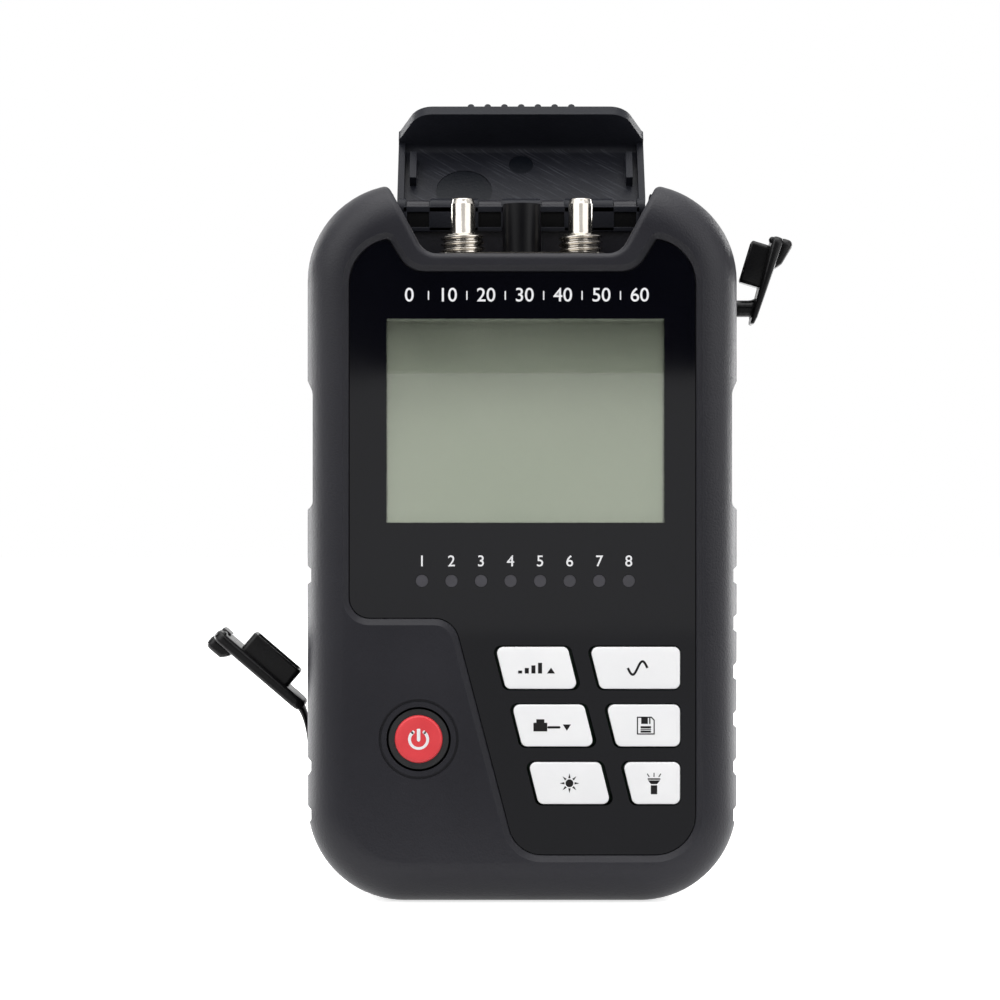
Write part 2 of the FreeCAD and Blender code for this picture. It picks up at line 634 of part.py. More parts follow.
# ---------------------------------------------------------------------------
# Display: acrylic panel, window, light pipes, liquid crystal glass, backlight
# ---------------------------------------------------------------------------
display_panel = new_body("display_panel")
extrude(display_panel, "sheet", "front", [panel_outline], panel_back, panel_face)
extrude(display_panel, "panel_window", "front", [window], panel_face, panel_back, cut=True)
extrude(display_panel, "panel_key_holes", "front", [key_outline(c, r, "key_gap") for _, c, r in KEYS],
        panel_face, panel_back, cut=True)
extrude(display_panel, "panel_lamp_holes", "front", [(x, z, "lamp_diameter + 0.1") for x, z in LAMPS],
        panel_face, panel_back, cut=True)

lcd_window = new_body("lcd_window")
extrude(lcd_window, "lens", "front",
        [box("window_x - window_width / 2 + 0.02", "window_x + window_width / 2 - 0.02",
             "window_z - window_height / 2 + 0.02", "window_z + window_height / 2 - 0.02")],
        panel_back, panel_face)

light_pipes = new_body("light_pipes")
extrude(light_pipes, "pipe_bar", "front",
        [box("window_x - 4 * lamp_pitch", "window_x + 4 * lamp_pitch",
             "lamp_height - 1.8", "lamp_height + 1.8")],
        f"{web_back} + 1.4", web_back)
extrude(light_pipes, "pipe_posts", "front", [(x, z, "lamp_diameter") for x, z in LAMPS],
        f"{web_back} + 0.1", panel_face)

glass_back = f"{web_back} + 2.4"
keep(block("lcd_glass", "window_x - window_width / 2 - 3", "window_x + window_width / 2 + 3", web_back,
           glass_back, "window_z - window_height / 2 - 4.5", "window_z + window_height / 2 + 3"))
keep(block("lcd_backlight", "window_x - window_width / 2 - 3", "window_x + window_width / 2 + 3", glass_back,
           "board_front", "window_z - window_height / 2 - 4.5", "window_z + window_height / 2 + 3"))

# ---------------------------------------------------------------------------
# Keys: one rubber sheet, six white keys that slide in it, and the power key
# ---------------------------------------------------------------------------
key_face = "panel_step - front_depth - key_proud"
mat_back = f"{web_back} + mat_thickness"
flange_front = f"{mat_back} + 0.05"
keypad_mat = new_body("keypad_mat")
extrude(keypad_mat, "mat", "front",
        [box("key_left - 5", "key_right + 0.8", "key_row_top - 2 * key_row_pitch - 6.5", "key_row_top + 6")],
        mat_back, web_back)
extrude(keypad_mat, "mat_holes", "front", [key_outline(c, r, "key_gap") for _, c, r in KEYS],
        web_back, mat_back, cut=True)
for label, column, row in KEYS:
    key = new_body(label)
    extrude(key, label + "_cap", "front", [key_outline(column, row)], flange_front, key_face)
    soften(key, label + "_edge", "0.3", lambda b, e: at(b.YMin, key_face) and at(b.YMax, key_face), "Chamfer")
    extrude(key, label + "_flange", "front", [key_outline(column, row, "key_flange")],
            f"{flange_front} + 0.8", flange_front)
    middle_x = f"key_left + {row} * key_row_shift + key_width / 2"
    if column:
        middle_x = f"(key_left + {row} * key_row_shift + key_width + key_space + key_right) / 2"
    extrude(key, label + "_pill", "front", [(middle_x, f"key_row_top - {row} * key_row_pitch", "4")],
            "board_front - key_travel - 0.1", f"{flange_front} + 0.7")

power_face = "-front_depth + 0.2"
power_key_collar = new_body("power_key_collar")
extrude(power_key_collar, "collar", "front", [("power_x", "power_z", "power_collar_diameter")],
        "6.8 - front_depth", power_face)
extrude(power_key_collar, "collar_lip", "front", [("power_x", "power_z", "power_collar_diameter + 2.4")],
        "7.4 - front_depth", "6.6 - front_depth")
extrude(power_key_collar, "collar_pill", "front", [("power_x", "power_z", "4")],
        "board_front - key_travel - 0.1", "7.3 - front_depth")
extrude(power_key_collar, "cap_seat", "front", [("power_x", "power_z", "power_cap_diameter + 0.04")],
        "-front_depth", "1.4 - front_depth", cut=True)
power_key_cap = new_body("power_key_cap")
extrude(power_key_cap, "cap_disc", "front", [("power_x", "power_z", "power_cap_diameter")],
        "1.4 - front_depth", "-front_depth - 0.3")
soften(power_key_cap, "cap_edge", "0.6",
       lambda b, e: at(b.YMin, "-front_depth - 0.3") and at(b.YMax, "-front_depth - 0.3"))

# ---------------------------------------------------------------------------
# Main board and what is soldered to it
# ---------------------------------------------------------------------------
board_back = "board_front + board_thickness"
main_board = new_body("main_board")
board_outline = hollow("case_width / 2 - wall - 0.6", "wall + 0.6", "notch_floor - wall - 0.8")
extrude(main_board, "board", "front", [board_outline], board_back, "board_front")
extrude(main_board, "board_holes", "front", [(x, z, "boss_diameter + 0.6") for x, z in BOSSES],
        "board_front", board_back, cut=True)
keep(block("control_chip", "-6", "6", board_back, f"{board_back} + 1.2",
           "chip_height - 6", "chip_height + 6"))
keep(rod("buzzer", "Y", "9.5", board_back, "3.2", ("24", "buzzer_height")))

# ---------------------------------------------------------------------------
# Fibre ports, torch and the strip between them
# ---------------------------------------------------------------------------
bracket_top = "notch_floor + bracket_thickness"
port_bracket = new_body("port_bracket")
extrude(port_bracket, "strip", "top", [box("-port_x - 4.2", "port_x + 4.2", "-5.2", "5.2", "1.5")],
        "notch_floor", bracket_top)
extrude(port_bracket, "strip_holes", "top",
        [("-port_x", "0", "thread_diameter + 0.1"), ("port_x", "0", "thread_diameter + 0.1"),
         ("0", "0", "torch_diameter + 0.1")], "notch_floor", bracket_top, cut=True)

adapter = [
    ("ceramic_diameter / 2", "notch_floor - 9", None),
    ("thread_diameter / 2 + 0.7", "notch_floor - 9", None),
    ("thread_diameter / 2 + 0.7", "notch_floor - 3", None),
    ("thread_diameter / 2", "notch_floor - 3", None),
    ("thread_diameter / 2", "thread_top - 0.5", None),
    ("thread_diameter / 2 - 0.5", "thread_top", None),
    ("sleeve_diameter / 2", "thread_top", None),
    ("sleeve_diameter / 2", "sleeve_top - 0.3", None),
    ("sleeve_diameter / 2 - 0.3", "sleeve_top", None),
    ("ceramic_diameter / 2", "sleeve_top", None),
]
ceramic = [
    ("ferrule_diameter / 2", "notch_floor - 9", None),
    ("ceramic_diameter / 2", "notch_floor - 9", None),
    ("ceramic_diameter / 2", "sleeve_top - 0.5", None),
    ("ferrule_diameter / 2", "sleeve_top - 0.5", None),
]
for kind, across in (("detector", "-port_x"), ("laser", "port_x")):
    body = new_body(kind + "_adapter")
    spin(body, kind + "_turned", "front", adapter, "V_Axis")
    tie(body, "Placement.Base.x", across)
    body = new_body(kind + "_ceramic_sleeve")
    spin(body, kind + "_ceramic", "front", ceramic, "V_Axis")
    tie(body, "Placement.Base.x", across)
    can = rod(kind + "_can", "Z", "5.6", "notch_floor - 9 - 4", "4", (across, "0"))
    legs = []
    for i in range(3):
        place = (f"{across} + 1.3 * cos({120 * i} deg)", f"1.3 * sin({120 * i} deg)")
        legs.append(rod(f"{kind}_leg_{i}", "Z", "0.5", "notch_floor - 9 - 11", "7.5", place))
    keep(join(kind + "_module", [can] + legs))

torch_tube = new_body("torch_tube")
extrude(torch_tube, "tube", "top", [("0", "0", "torch_diameter")], "notch_floor - 8", "torch_top")
extrude(torch_tube, "tube_bore", "top", [("0", "0", "torch_diameter - 1.6")],
        "notch_floor - 8", "torch_top", cut=True)
torch_lens = new_body("torch_lens")
extrude(torch_lens, "lens_body", "top", [("0", "0", "torch_diameter - 1.62")],
        "torch_top - 5", "torch_top - 1.4")
soften(torch_lens, "lens_dome", "1.8",
       lambda b, e: at(b.ZMin, "torch_top - 1.4") and at(b.ZMax, "torch_top - 1.4"))
keep(join("torch_led", [rod("led_base", "Z", "5.0", "notch_floor - 6", "1.2", ("0", "0")),
                        rod("led_body", "Z", "4.6", "notch_floor - 5", "6", ("0", "0"))]))

# ---------------------------------------------------------------------------
# Port cap: lid, front wall, hinge barrels, snap arms; drawn closed, kept open
# ---------------------------------------------------------------------------
lid_under = "cap_axis_z + 1.4"
lid_top = "cap_axis_z + 1.4 + cap_wall"
cap_face = "cap_axis_y - cap_front"
port_cap = new_body("port_cap")
lid = [
    (cap_face, "cap_axis_z + 1.4 + cap_wall - cap_drop", None),
    (f"{cap_face} + cap_wall", "cap_axis_z + 1.4 + cap_wall - cap_drop", None),
    (f"{cap_face} + cap_wall", lid_under, "1.2"),
    ("cap_axis_y + cap_tail", lid_under, None),
    ("cap_axis_y + cap_tail", lid_top, "0.8"),
    (cap_face, lid_top, "2.6"),
]
extrude(port_cap, "lid", "side", [lid], "-cap_half", "cap_half")
cap_edge = "cap_axis_z + 1.4 + cap_wall - cap_drop"
marks = [("-port_x", "cap_axis_y - 6.2", "10.3"), ("0", f"{cap_face} + cap_wall + 3.9", "4.6")]
extrude(port_cap, "moulding_marks", "top", marks, lid_under, f"{lid_under} + 0.15", cut=True)
ribs = [box("cap_half - cap_rim", "cap_half", f"{lid_under} - cap_rim_depth", f"{lid_under} + 0.1")]
ribs.append(mirrored(ribs[0]))
extrude(port_cap, "side_ribs", "front", ribs, f"{cap_face} + 0.5", "cap_axis_y - barrel_radius - 0.4")
shoulder = f"notch_floor + (cap_half + cap_gap - notch_half_bottom - cap_ledge) / ({notch_run})"
beside = [
    ("notch_half_bottom + cap_ledge - cap_gap", "notch_floor", None),
    ("cap_half + 8", "notch_floor", None),
    ("cap_half + 8", shoulder, None),
    ("cap_half", shoulder, "1.5"),
]
extrude(port_cap, "wall_slopes", "front", [beside, mirrored(beside)], f"{cap_face} - 1",
        "notch_back_start + 0.6", cut=True)
soften(port_cap, "wall_corners", "cap_corner",
       lambda b, e: at(b.ZMin, cap_edge) and at(b.ZMax, cap_edge) and b.XLength < 0.01)
extrude(port_cap, "barrels", "side", [("cap_axis_y", "cap_axis_z", "barrel_radius * 2")],
        "-cap_half + 0.2", "cap_half - 0.2")
barrel_web = box("cap_axis_y - barrel_radius", "cap_axis_y + barrel_radius", "cap_axis_z", f"{lid_under} + 0.2")
extrude(port_cap, "barrel_webs", "side", [barrel_web], "-cap_half + 0.2", "cap_half - 0.2")
for i, place in enumerate(("-knuckle_outer", "-knuckle_inner", "knuckle_inner", "knuckle_outer")):
    ends = (f"{place} - knuckle_width / 2 - 0.25", f"{place} + knuckle_width / 2 + 0.25")
    gap = box("cap_axis_y - barrel_radius - 0.4", "cap_axis_y + cap_tail + 1", "cap_axis_z - 5", lid_under)
    extrude(port_cap, f"knuckle_gap_{i}", "side", [gap], *ends, cut=True)
    hole = box("cap_axis_y - knuckle_radius", "cap_axis_y + knuckle_radius - 0.1",
               "cap_axis_z", f"{lid_top} + 1")
    extrude(port_cap, f"knuckle_window_{i}", "side", [hole], *ends, cut=True)
extrude(port_cap, "pin_bore", "side", [("cap_axis_y", "cap_axis_z", "hinge_pin_diameter + 0.04")],
        "-cap_half + 0.6", "cap_half - 0.6", cut=True)
for i, across in enumerate(("-cap_half + 2.2", "cap_half - 3.4")):
    arm = box("cap_axis_y - 14", "cap_axis_y - 7.5", "cap_axis_z - 0.9", f"{lid_under} + 0.1")
    extrude(port_cap, f"snap_arm_{i}", "side", [arm], across, f"{across} + 1.2")
for i in range(7):
    bump = (f"{(i - 3)} * 3.08", cap_face, "1.2")
    extrude(port_cap, f"finger_rib_{i}", "top", [bump], "cap_axis_z + 1.4 + cap_wall - cap_drop",
            "cap_axis_z - 3")
cap_centre = Vector(0, number("cap_axis_y"), number("cap_axis_z"))
turn(port_cap, Vector(1, 0, 0), -number("cap_open_angle"), cap_centre)

keep(rod("cap_hinge_pin", "X", "hinge_pin_diameter", "-cap_half + 0.6", "2 * cap_half - 1.2",
         ("cap_axis_y", "cap_axis_z")))

# ---------------------------------------------------------------------------
# Network jack with its eight contacts, and its rubber cover on a strap
# ---------------------------------------------------------------------------
jack_face = "-case_width / 2 + wall"
network_jack = new_body("network_jack")
extrude(network_jack, "jack_shell", "side",
        [box("board_front + board_thickness", "jack_y + 6.4", "jack_z - 8", "jack_z + 8")],
        f"{jack_face} + 0.1", f"{jack_face} + 13.8")
extrude(network_jack, "jack_mouth", "side",
        [box("jack_y - 3.4", "jack_y + 3.4", "jack_z - 5.9", "jack_z + 5.9")],
        jack_face, f"{jack_face} + 12.2", cut=True)
extrude(network_jack, "jack_key", "side",
        [box("jack_y + 3", "jack_y + 4.9", "jack_z - 3.1", "jack_z + 3.1")],
        jack_face, f"{jack_face} + 10", cut=True)
contact_bar = block("contact_bar", f"{jack_face} + 11.4", f"{jack_face} + 12.1", "jack_y - 3.4", "jack_y - 2.2",
                    "jack_z - 4.2", "jack_z + 4.2")
contacts = [contact_bar]
for i in range(8):
    middle = f"jack_z + ({i} - 3.5) * 1.02"
    contacts.append(block(f"contact_{i}", f"{jack_face} + 5", f"{jack_face} + 12.1",
                          "jack_y - 3.4", "jack_y - 2.6", f"{middle} - 0.22", f"{middle} + 0.22"))
keep(join("jack_contacts", contacts))

hinge_x = "-jack_axis_x"
cover_in = "-jack_axis_x + cover_thickness / 2"
cover_out = "-jack_axis_x - cover_thickness / 2"
jack_cover = new_body("network_jack_cover")
extrude(jack_cover, "cover_plate", "front",
        [box(cover_out, cover_in, "jack_axis_z + 1.6", "jack_axis_z + 21.6", "0.6")],
        "jack_y - 5.2", "jack_y + 5.2")
extrude(jack_cover, "cover_insert", "front",
        [box(f"{cover_in} - 0.2", f"{cover_in} + 3.4", "jack_z - 5.6", "jack_z + 5.2", "0.5")],
        "jack_y - 3.1", "jack_y + 3.1")
extrude(jack_cover, "insert_hollow", "side",
        [box("jack_y - 2.2", "jack_y + 2.2", "jack_z - 4.7", "jack_z + 4.3")],
        f"{cover_in} + 4", f"{cover_in} + 0.4", cut=True)
extrude(jack_cover, "cover_lip", "front",
        [box(f"{cover_out} - 1.6", f"{cover_out} + 0.4", "jack_axis_z + 19.8", "jack_axis_z + 21.6", "0.5")],
        "jack_y - 3.4", "jack_y + 3.4")
extrude(jack_cover, "cover_rib", "front",
        [box(f"{cover_out} - 0.7", f"{cover_out} + 0.4", "jack_axis_z + 16.6", "jack_axis_z + 17.6", "0.3")],
        "jack_y - 3.4", "jack_y + 3.4")
extrude(jack_cover, "cover_eyes", "front", [(hinge_x, "jack_axis_z", "2.4")], "jack_y - 3.4", "jack_y + 3.4")
extrude(jack_cover, "eye_webs", "front",
        [box(f"{hinge_x} - 0.8", f"{hinge_x} + 0.8", "jack_axis_z", "jack_axis_z + 2.4")],
        "jack_y - 3.4", "jack_y + 3.4")
extrude(jack_cover, "eye_gap", "front",
        [box(f"{hinge_x} - 2", f"{hinge_x} + 2", "jack_axis_z - 2", "jack_axis_z + 1.5")],
        "jack_y - 1.8", "jack_y + 1.8", cut=True)
extrude(jack_cover, "eye_bore", "front", [(hinge_x, "jack_axis_z", "1.3")],
        "jack_y - 4", "jack_y + 4", cut=True)
turn(jack_cover, Vector(0, 1, 0), -number("jack_cover_angle"),
     Vector(-number("jack_axis_x"), 0, number("jack_axis_z")))

strap = [
    block("strap_plate", "-case_width / 2 - 1.0", "-case_width / 2 - 0.1", "jack_y - 1.5", "jack_y + 1.5",
          "jack_axis_z - 5.6", "jack_axis_z"),
    rod("strap_bar", "Y", "1.2", "jack_y - 3.3", "6.6", (hinge_x, "jack_axis_z")),
    rod("strap_plug", "X", "2.2", "-case_width / 2 - 0.5", "4.6", ("jack_y", "jack_axis_z - 4")),
    rod("strap_head", "X", "3.8", "-case_width / 2 + wall + 0.1", "1.6", ("jack_y", "jack_axis_z - 4")),
]
keep(join("network_cover_strap", strap))

# ---------------------------------------------------------------------------
# Charge socket, and its rubber cover on a stalk that pulls out and tilts
# ---------------------------------------------------------------------------
socket_face = "case_width / 2 - wall - 2.4"
charge_socket = new_body("charge_socket")
extrude(charge_socket, "socket_shell", "side",
        [box("-1.8", "1.8", "socket_z - 4.7", "socket_z + 4.7", "1.4")], f"{socket_face} - 7.5", socket_face)
extrude(charge_socket, "socket_mouth", "side",
        [box("-1.4", "1.4", "socket_z - 4.3", "socket_z + 4.3", "1.1")],
        socket_face, f"{socket_face} - 6.8", cut=True)
keep(block("charge_tongue", f"{socket_face} - 6.8", f"{socket_face} - 0.6", "-0.35", "0.35",
           "socket_z - 3.3", "socket_z + 3.3"))

pivot_x = "case_width / 2 + 1.3"
charge_cover = new_body("charge_socket_cover")
extrude(charge_cover, "flap", "front",
        [box(f"{pivot_x} - cover_thickness / 2", f"{pivot_x} + cover_thickness / 2", "stalk_z + 1.2",
             "stalk_z + 13", "0.6")], "-3.6", "3.6")
extrude(charge_cover, "plug", "front",
        [box(f"{pivot_x} - 4.2", f"{pivot_x} - 0.5", "socket_z - 3.9", "socket_z + 3.9", "0.5")], "-1.9", "1.9")
extrude(charge_cover, "plug_hollow", "side",
        [box("-1.1", "1.1", "socket_z - 3.1", "socket_z + 3.1")],
        f"{pivot_x} - 5", f"{pivot_x} - 1.6", cut=True)
extrude(charge_cover, "flap_lip", "front",
        [box(f"{pivot_x} + 0.5", f"{pivot_x} + 2.4", "stalk_z + 11.3", "stalk_z + 13", "0.5")], "-2.6", "2.6")
extrude(charge_cover, "flap_rib", "front",
        [box(f"{pivot_x} + 0.5", f"{pivot_x} + 1.5", "stalk_z + 8.6", "stalk_z + 9.6", "0.3")], "-2.6", "2.6")
extrude(charge_cover, "flap_eyes", "front", [(pivot_x, "stalk_z", "2.4")], "-3", "3")
extrude(charge_cover, "flap_tab", "front",
        [box(f"{pivot_x} - 0.7", f"{pivot_x} + 0.7", "stalk_z - 1.7", "stalk_z + 1.8")], "-3", "3")
extrude(charge_cover, "flap_gap", "front",
        [box(f"{pivot_x} - 2", f"{pivot_x} + 2", "stalk_z - 3", "stalk_z + 1.4")], "-1.5", "1.5", cut=True)
extrude(charge_cover, "flap_bore", "front", [(pivot_x, "stalk_z", "1.3")], "-4", "4", cut=True)
turn(charge_cover, Vector(0, 1, 0), number("socket_cover_angle"),
     Vector(number(pivot_x), 0, number("stalk_z")))
charge_cover.Placement.Base = charge_cover.Placement.Base + Vector(number("stalk_pull"), 0, 0)

stalk = [
    rod("stalk_neck", "X", "1.8", "case_width / 2 - wall - 3 + stalk_pull - 0.1", "wall + 4.4",
        ("0", "stalk_z")),
    rod("stalk_bar", "Y", "1.2", "-2.9", "5.8", (f"{pivot_x} + stalk_pull", "stalk_z")),
    rod("stalk_sleeve", "X", "stalk_diameter", "case_width / 2 - wall - 0.5", "wall + stalk_pull + 0.4",
        ("0", "stalk_z")),
    rod("stalk_head", "X", "stalk_diameter + 0.9", "case_width / 2 - wall - 1.6 - 0.1", "1.5",
        ("0", "stalk_z")),
]
keep(join("charge_cover_stalk", stalk))

# ---------------------------------------------------------------------------
# Battery, its contacts and its door
# ---------------------------------------------------------------------------
battery_pack = new_body("battery_pack")
extrude(battery_pack, "cell", "top",
        [box("-bay_half + 1.5", "bay_half - 1.5",
             "bay_floor + 0.1", "back_depth - door_thickness - 0.7", "2.5")],
        "bay_bottom + 0.8", "bay_top - 4")
contact_blocks = [block(f"battery_contact_{i}", f"{i} * 5 - 1.2", f"{i} * 5 + 1.2",
                        "bay_floor + 2", "bay_floor + 6", "bay_top - 3.9", "bay_top") for i in (-1, 0, 1)]
contact_holder = block("contact_holder", "-8", "8", "bay_floor", "bay_floor + 2", "bay_top - 3.5", "bay_top")
keep(join("battery_contacts", contact_blocks + [contact_holder]))

battery_door = new_body("battery_door")
door_bottom = "door_axis_z - door_thickness / 2"
extrude(battery_door, "door_plate", "side",
        [box("back_depth - door_thickness", "back_depth", door_bottom, "door_top")], "-door_half", "door_half")
soften(battery_door, "door_lower_edge", "door_thickness / 2 - 0.01",
       lambda b, e: at(b.ZMin, door_bottom) and at(b.ZMax, door_bottom) and b.XLength > 20)
extrude(battery_door, "toes", "side", [("back_depth - door_thickness / 2", "door_axis_z", "1.4")],
        "-door_half - 1.3", "door_half + 1.3")
for i in range(6):
    width = f"8 - {i} * 0.9"
    place = f"door_top - 5 - {i} * 1.8"
    extrude(battery_door, f"thumb_groove_{i}", "front", [frame(width, place, f"{place} + 0.8")],
            "back_depth", "back_depth - 0.5", cut=True)

# ---------------------------------------------------------------------------
# Case screws
# ---------------------------------------------------------------------------
for i, (across, height) in enumerate(BOSSES, start=1):
    shank = rod(f"screw_{i}_shank", "Y", "screw_diameter - 0.12", "-7.5", "back_depth + 4.1", (across, height))
    head = rod(f"screw_{i}_head", "Y", "4.6", "back_depth - 3.5", "1.8", (across, height))
    cross = [block(f"screw_{i}_slot_{way}", f"{across} - {wide}", f"{across} + {wide}", "back_depth - 2.5",
                   "back_depth - 1.5", f"{height} - {tall}", f"{height} + {tall}")
             for way, wide, tall in (("a", 1.3, 0.3), ("b", 0.3, 1.3))]
    keep(take(f"case_screw_{i}", join(f"screw_{i}_blank", [shank, head]), cross))

# ---------------------------------------------------------------------------
# Hand-in
# ---------------------------------------------------------------------------
for thing in doc.Objects:
    if "Touched" in thing.State:
        thing.recompute()
    if "Invalid" in thing.State or "Error" in thing.State:
        raise RuntimeError(f"{thing.Name} failed: {thing.State}")
os.makedirs("parts", exist_ok=True)
for piece in PIECES:
    shape = piece.Shape
    if shape.isNull() or not shape.isValid() or not shape.Solids:
        raise RuntimeError(f"{piece.Label} is not a sound solid")
    shape.exportStep(f"parts/{piece.Label}.step")
    box_size = shape.BoundBox
    print(f"{piece.Label:26s} {len(shape.Solids)} {shape.Volume:10.1f} "
          f"{box_size.XMin:7.2f}{box_size.XMax:8.2f} {box_size.YMin:7.2f}{box_size.YMax:8.2f} "
          f"{box_size.ZMin:7.2f}{box_size.ZMax:8.2f}")
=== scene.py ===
"""Visual model of a hand-held optical power meter with a network tester and a torch.

Metres. +Z runs up the case, -Y is the display side and +X is the user's right.
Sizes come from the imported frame; each section holds one piece or one group of like pieces.
"""
import math

import bmesh
import bpy
import numpy as np
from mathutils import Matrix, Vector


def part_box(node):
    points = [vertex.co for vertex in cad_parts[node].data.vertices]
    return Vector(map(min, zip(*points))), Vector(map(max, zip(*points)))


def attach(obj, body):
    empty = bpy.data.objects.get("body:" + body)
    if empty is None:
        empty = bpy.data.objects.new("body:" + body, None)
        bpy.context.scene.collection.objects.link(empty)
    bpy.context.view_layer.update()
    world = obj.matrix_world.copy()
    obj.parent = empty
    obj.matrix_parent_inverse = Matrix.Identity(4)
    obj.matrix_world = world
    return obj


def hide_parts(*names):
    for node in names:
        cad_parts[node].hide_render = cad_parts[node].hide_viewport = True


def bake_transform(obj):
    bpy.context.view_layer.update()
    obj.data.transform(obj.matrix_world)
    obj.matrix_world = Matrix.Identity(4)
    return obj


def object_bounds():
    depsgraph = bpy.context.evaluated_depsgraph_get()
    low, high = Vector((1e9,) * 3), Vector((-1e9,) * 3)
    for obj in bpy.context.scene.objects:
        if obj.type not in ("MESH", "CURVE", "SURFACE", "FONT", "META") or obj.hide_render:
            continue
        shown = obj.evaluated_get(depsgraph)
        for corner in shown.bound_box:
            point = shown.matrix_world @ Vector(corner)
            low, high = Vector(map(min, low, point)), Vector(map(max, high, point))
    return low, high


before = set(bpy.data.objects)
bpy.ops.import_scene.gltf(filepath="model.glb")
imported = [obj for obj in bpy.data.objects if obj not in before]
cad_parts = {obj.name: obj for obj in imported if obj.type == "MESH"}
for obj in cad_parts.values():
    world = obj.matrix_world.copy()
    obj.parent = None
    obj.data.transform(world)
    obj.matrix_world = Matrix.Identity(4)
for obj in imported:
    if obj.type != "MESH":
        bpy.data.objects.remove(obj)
cad_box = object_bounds()

# ---------------------------------------------------------------------------
# Camera: level with the middle of the meter, half a metre in front of it and a
# little to its left, with a long lens.
# ---------------------------------------------------------------------------
CAMERA_PLACE = (-0.0039, -0.520, 0.07025)
FRAME_WIDTH = 0.1786
camera_data = bpy.data.cameras.new("camera")
camera_data.sensor_width = 36.0
camera_data.lens = 36.0 * -CAMERA_PLACE[1] / FRAME_WIDTH
camera_data.clip_start = 0.01
camera = bpy.data.objects.new("camera", camera_data)
camera.location = CAMERA_PLACE
camera.rotation_euler = (math.radians(90), 0, 0)
bpy.context.collection.objects.link(camera)
bpy.context.scene.camera = camera
bpy.context.scene.view_settings.view_transform = "Standard"


# ---------------------------------------------------------------------------
# Studio: a white floor and surround, soft boxes in front and above, and rim lights
# behind. Cloths that only mirrors see: black above the lens and beside the ports,
# grey round the lens and on the floor in front.
# ---------------------------------------------------------------------------
def seen_directly(tree):
    """One where a camera, mirror or glass ray arrives, nought where diffuse light does."""
    path = tree.nodes.new("ShaderNodeLightPath")
    either = path.outputs["Is Camera Ray"]
    for ray in ("Is Glossy Ray", "Is Transmission Ray"):
        larger = tree.nodes.new("ShaderNodeMath")
        larger.operation = "MAXIMUM"
        tree.links.new(either, larger.inputs[0])
        tree.links.new(path.outputs[ray], larger.inputs[1])
        either = larger.outputs[0]
    return either


def either_shader(tree, lit, seen, output):
    """The lit shader for diffuse light, the seen one for rays that look at it."""
    mix = tree.nodes.new("ShaderNodeMixShader")
    tree.links.new(seen_directly(tree), mix.inputs[0])
    tree.links.new(lit, mix.inputs[1])
    tree.links.new(seen, mix.inputs[2])
    tree.links.new(mix.outputs[0], output)


SKY_LIT, SKY_SEEN = 0.42, 1.0
FLOOR_REACH, FLOOR_GREY, FLOOR_WHITE, FLOOR_GLOW = 3.0, 0.45, 0.9, 0.68
world = bpy.data.worlds.new("surround")
bpy.context.scene.world = world
world.use_nodes = True
lit_sky = world.node_tree.nodes["Background"]
lit_sky.inputs["Color"].default_value = (1, 1, 1, 1)
lit_sky.inputs["Strength"].default_value = SKY_LIT
seen_sky = world.node_tree.nodes.new("ShaderNodeBackground")
seen_sky.inputs["Color"].default_value = (1, 1, 1, 1)
seen_sky.inputs["Strength"].default_value = SKY_SEEN
either_shader(world.node_tree, lit_sky.outputs[0], seen_sky.outputs[0],
              world.node_tree.nodes["World Output"].inputs["Surface"])

floor_mesh = bpy.data.meshes.new("floor")
floor_mesh.from_pydata([(-FLOOR_REACH, -FLOOR_REACH, 0), (FLOOR_REACH, -FLOOR_REACH, 0),
                        (FLOOR_REACH, FLOOR_REACH, 0), (-FLOOR_REACH, FLOOR_REACH, 0)], [], [(0, 1, 2, 3)])
floor = bpy.data.objects.new("floor", floor_mesh)
floor.location.z = cad_box[0][2]
bpy.context.collection.objects.link(floor)
floor_paint = bpy.data.materials.new("floor_paint")
floor_paint.use_nodes = True
floor_tree = floor_paint.node_tree
floor_matte = floor_tree.nodes["Principled BSDF"]
floor_matte.inputs["Base Color"].default_value = (FLOOR_GREY, FLOOR_GREY, FLOOR_GREY, 1)
floor_matte.inputs["Roughness"].default_value = 0.9
floor_glow = floor_tree.nodes.new("ShaderNodeBsdfDiffuse")
floor_glow.inputs["Color"].default_value = (FLOOR_WHITE, FLOOR_WHITE, FLOOR_WHITE, 1)
floor_emit = floor_tree.nodes.new("ShaderNodeEmission")
floor_emit.inputs["Strength"].default_value = FLOOR_GLOW
floor_white = floor_tree.nodes.new("ShaderNodeAddShader")
floor_tree.links.new(floor_glow.outputs[0], floor_white.inputs[0])
floor_tree.links.new(floor_emit.outputs[0], floor_white.inputs[1])
either_shader(floor_tree, floor_matte.outputs[0], floor_white.outputs[0],
              floor_tree.nodes["Material Output"].inputs["Surface"])
floor_mesh.materials.append(floor_paint)

LIGHTS = {
    "front_left_box": ((-0.85, -0.70, 0.90), 8.0, 1.2),
    "front_right_box": ((0.95, -0.75, 0.60), 5.6, 1.2),
    "top_box": ((0.0, -0.12, 1.0), 7.0, 0.9),
    "rim_left": ((-0.60, 0.35, 0.22), 6.0, 0.5),
    "rim_right": ((0.60, 0.35, 0.22), 6.0, 0.5),
}
LIGHT_AIM = np.array((0.0, 0.0, 0.07))
for name, (place, power, across) in LIGHTS.items():
    light = bpy.data.lights.new(name, "AREA")
    light.energy = power
    light.size = across
    lamp = bpy.data.objects.new(name, light)
    lamp.location = place
    away = np.array(place) - LIGHT_AIM
    lamp.rotation_euler = (math.atan2(math.hypot(away[0], away[1]), away[2]), 0,
                           math.atan2(away[1], away[0]) + math.pi / 2)
    bpy.context.collection.objects.link(lamp)

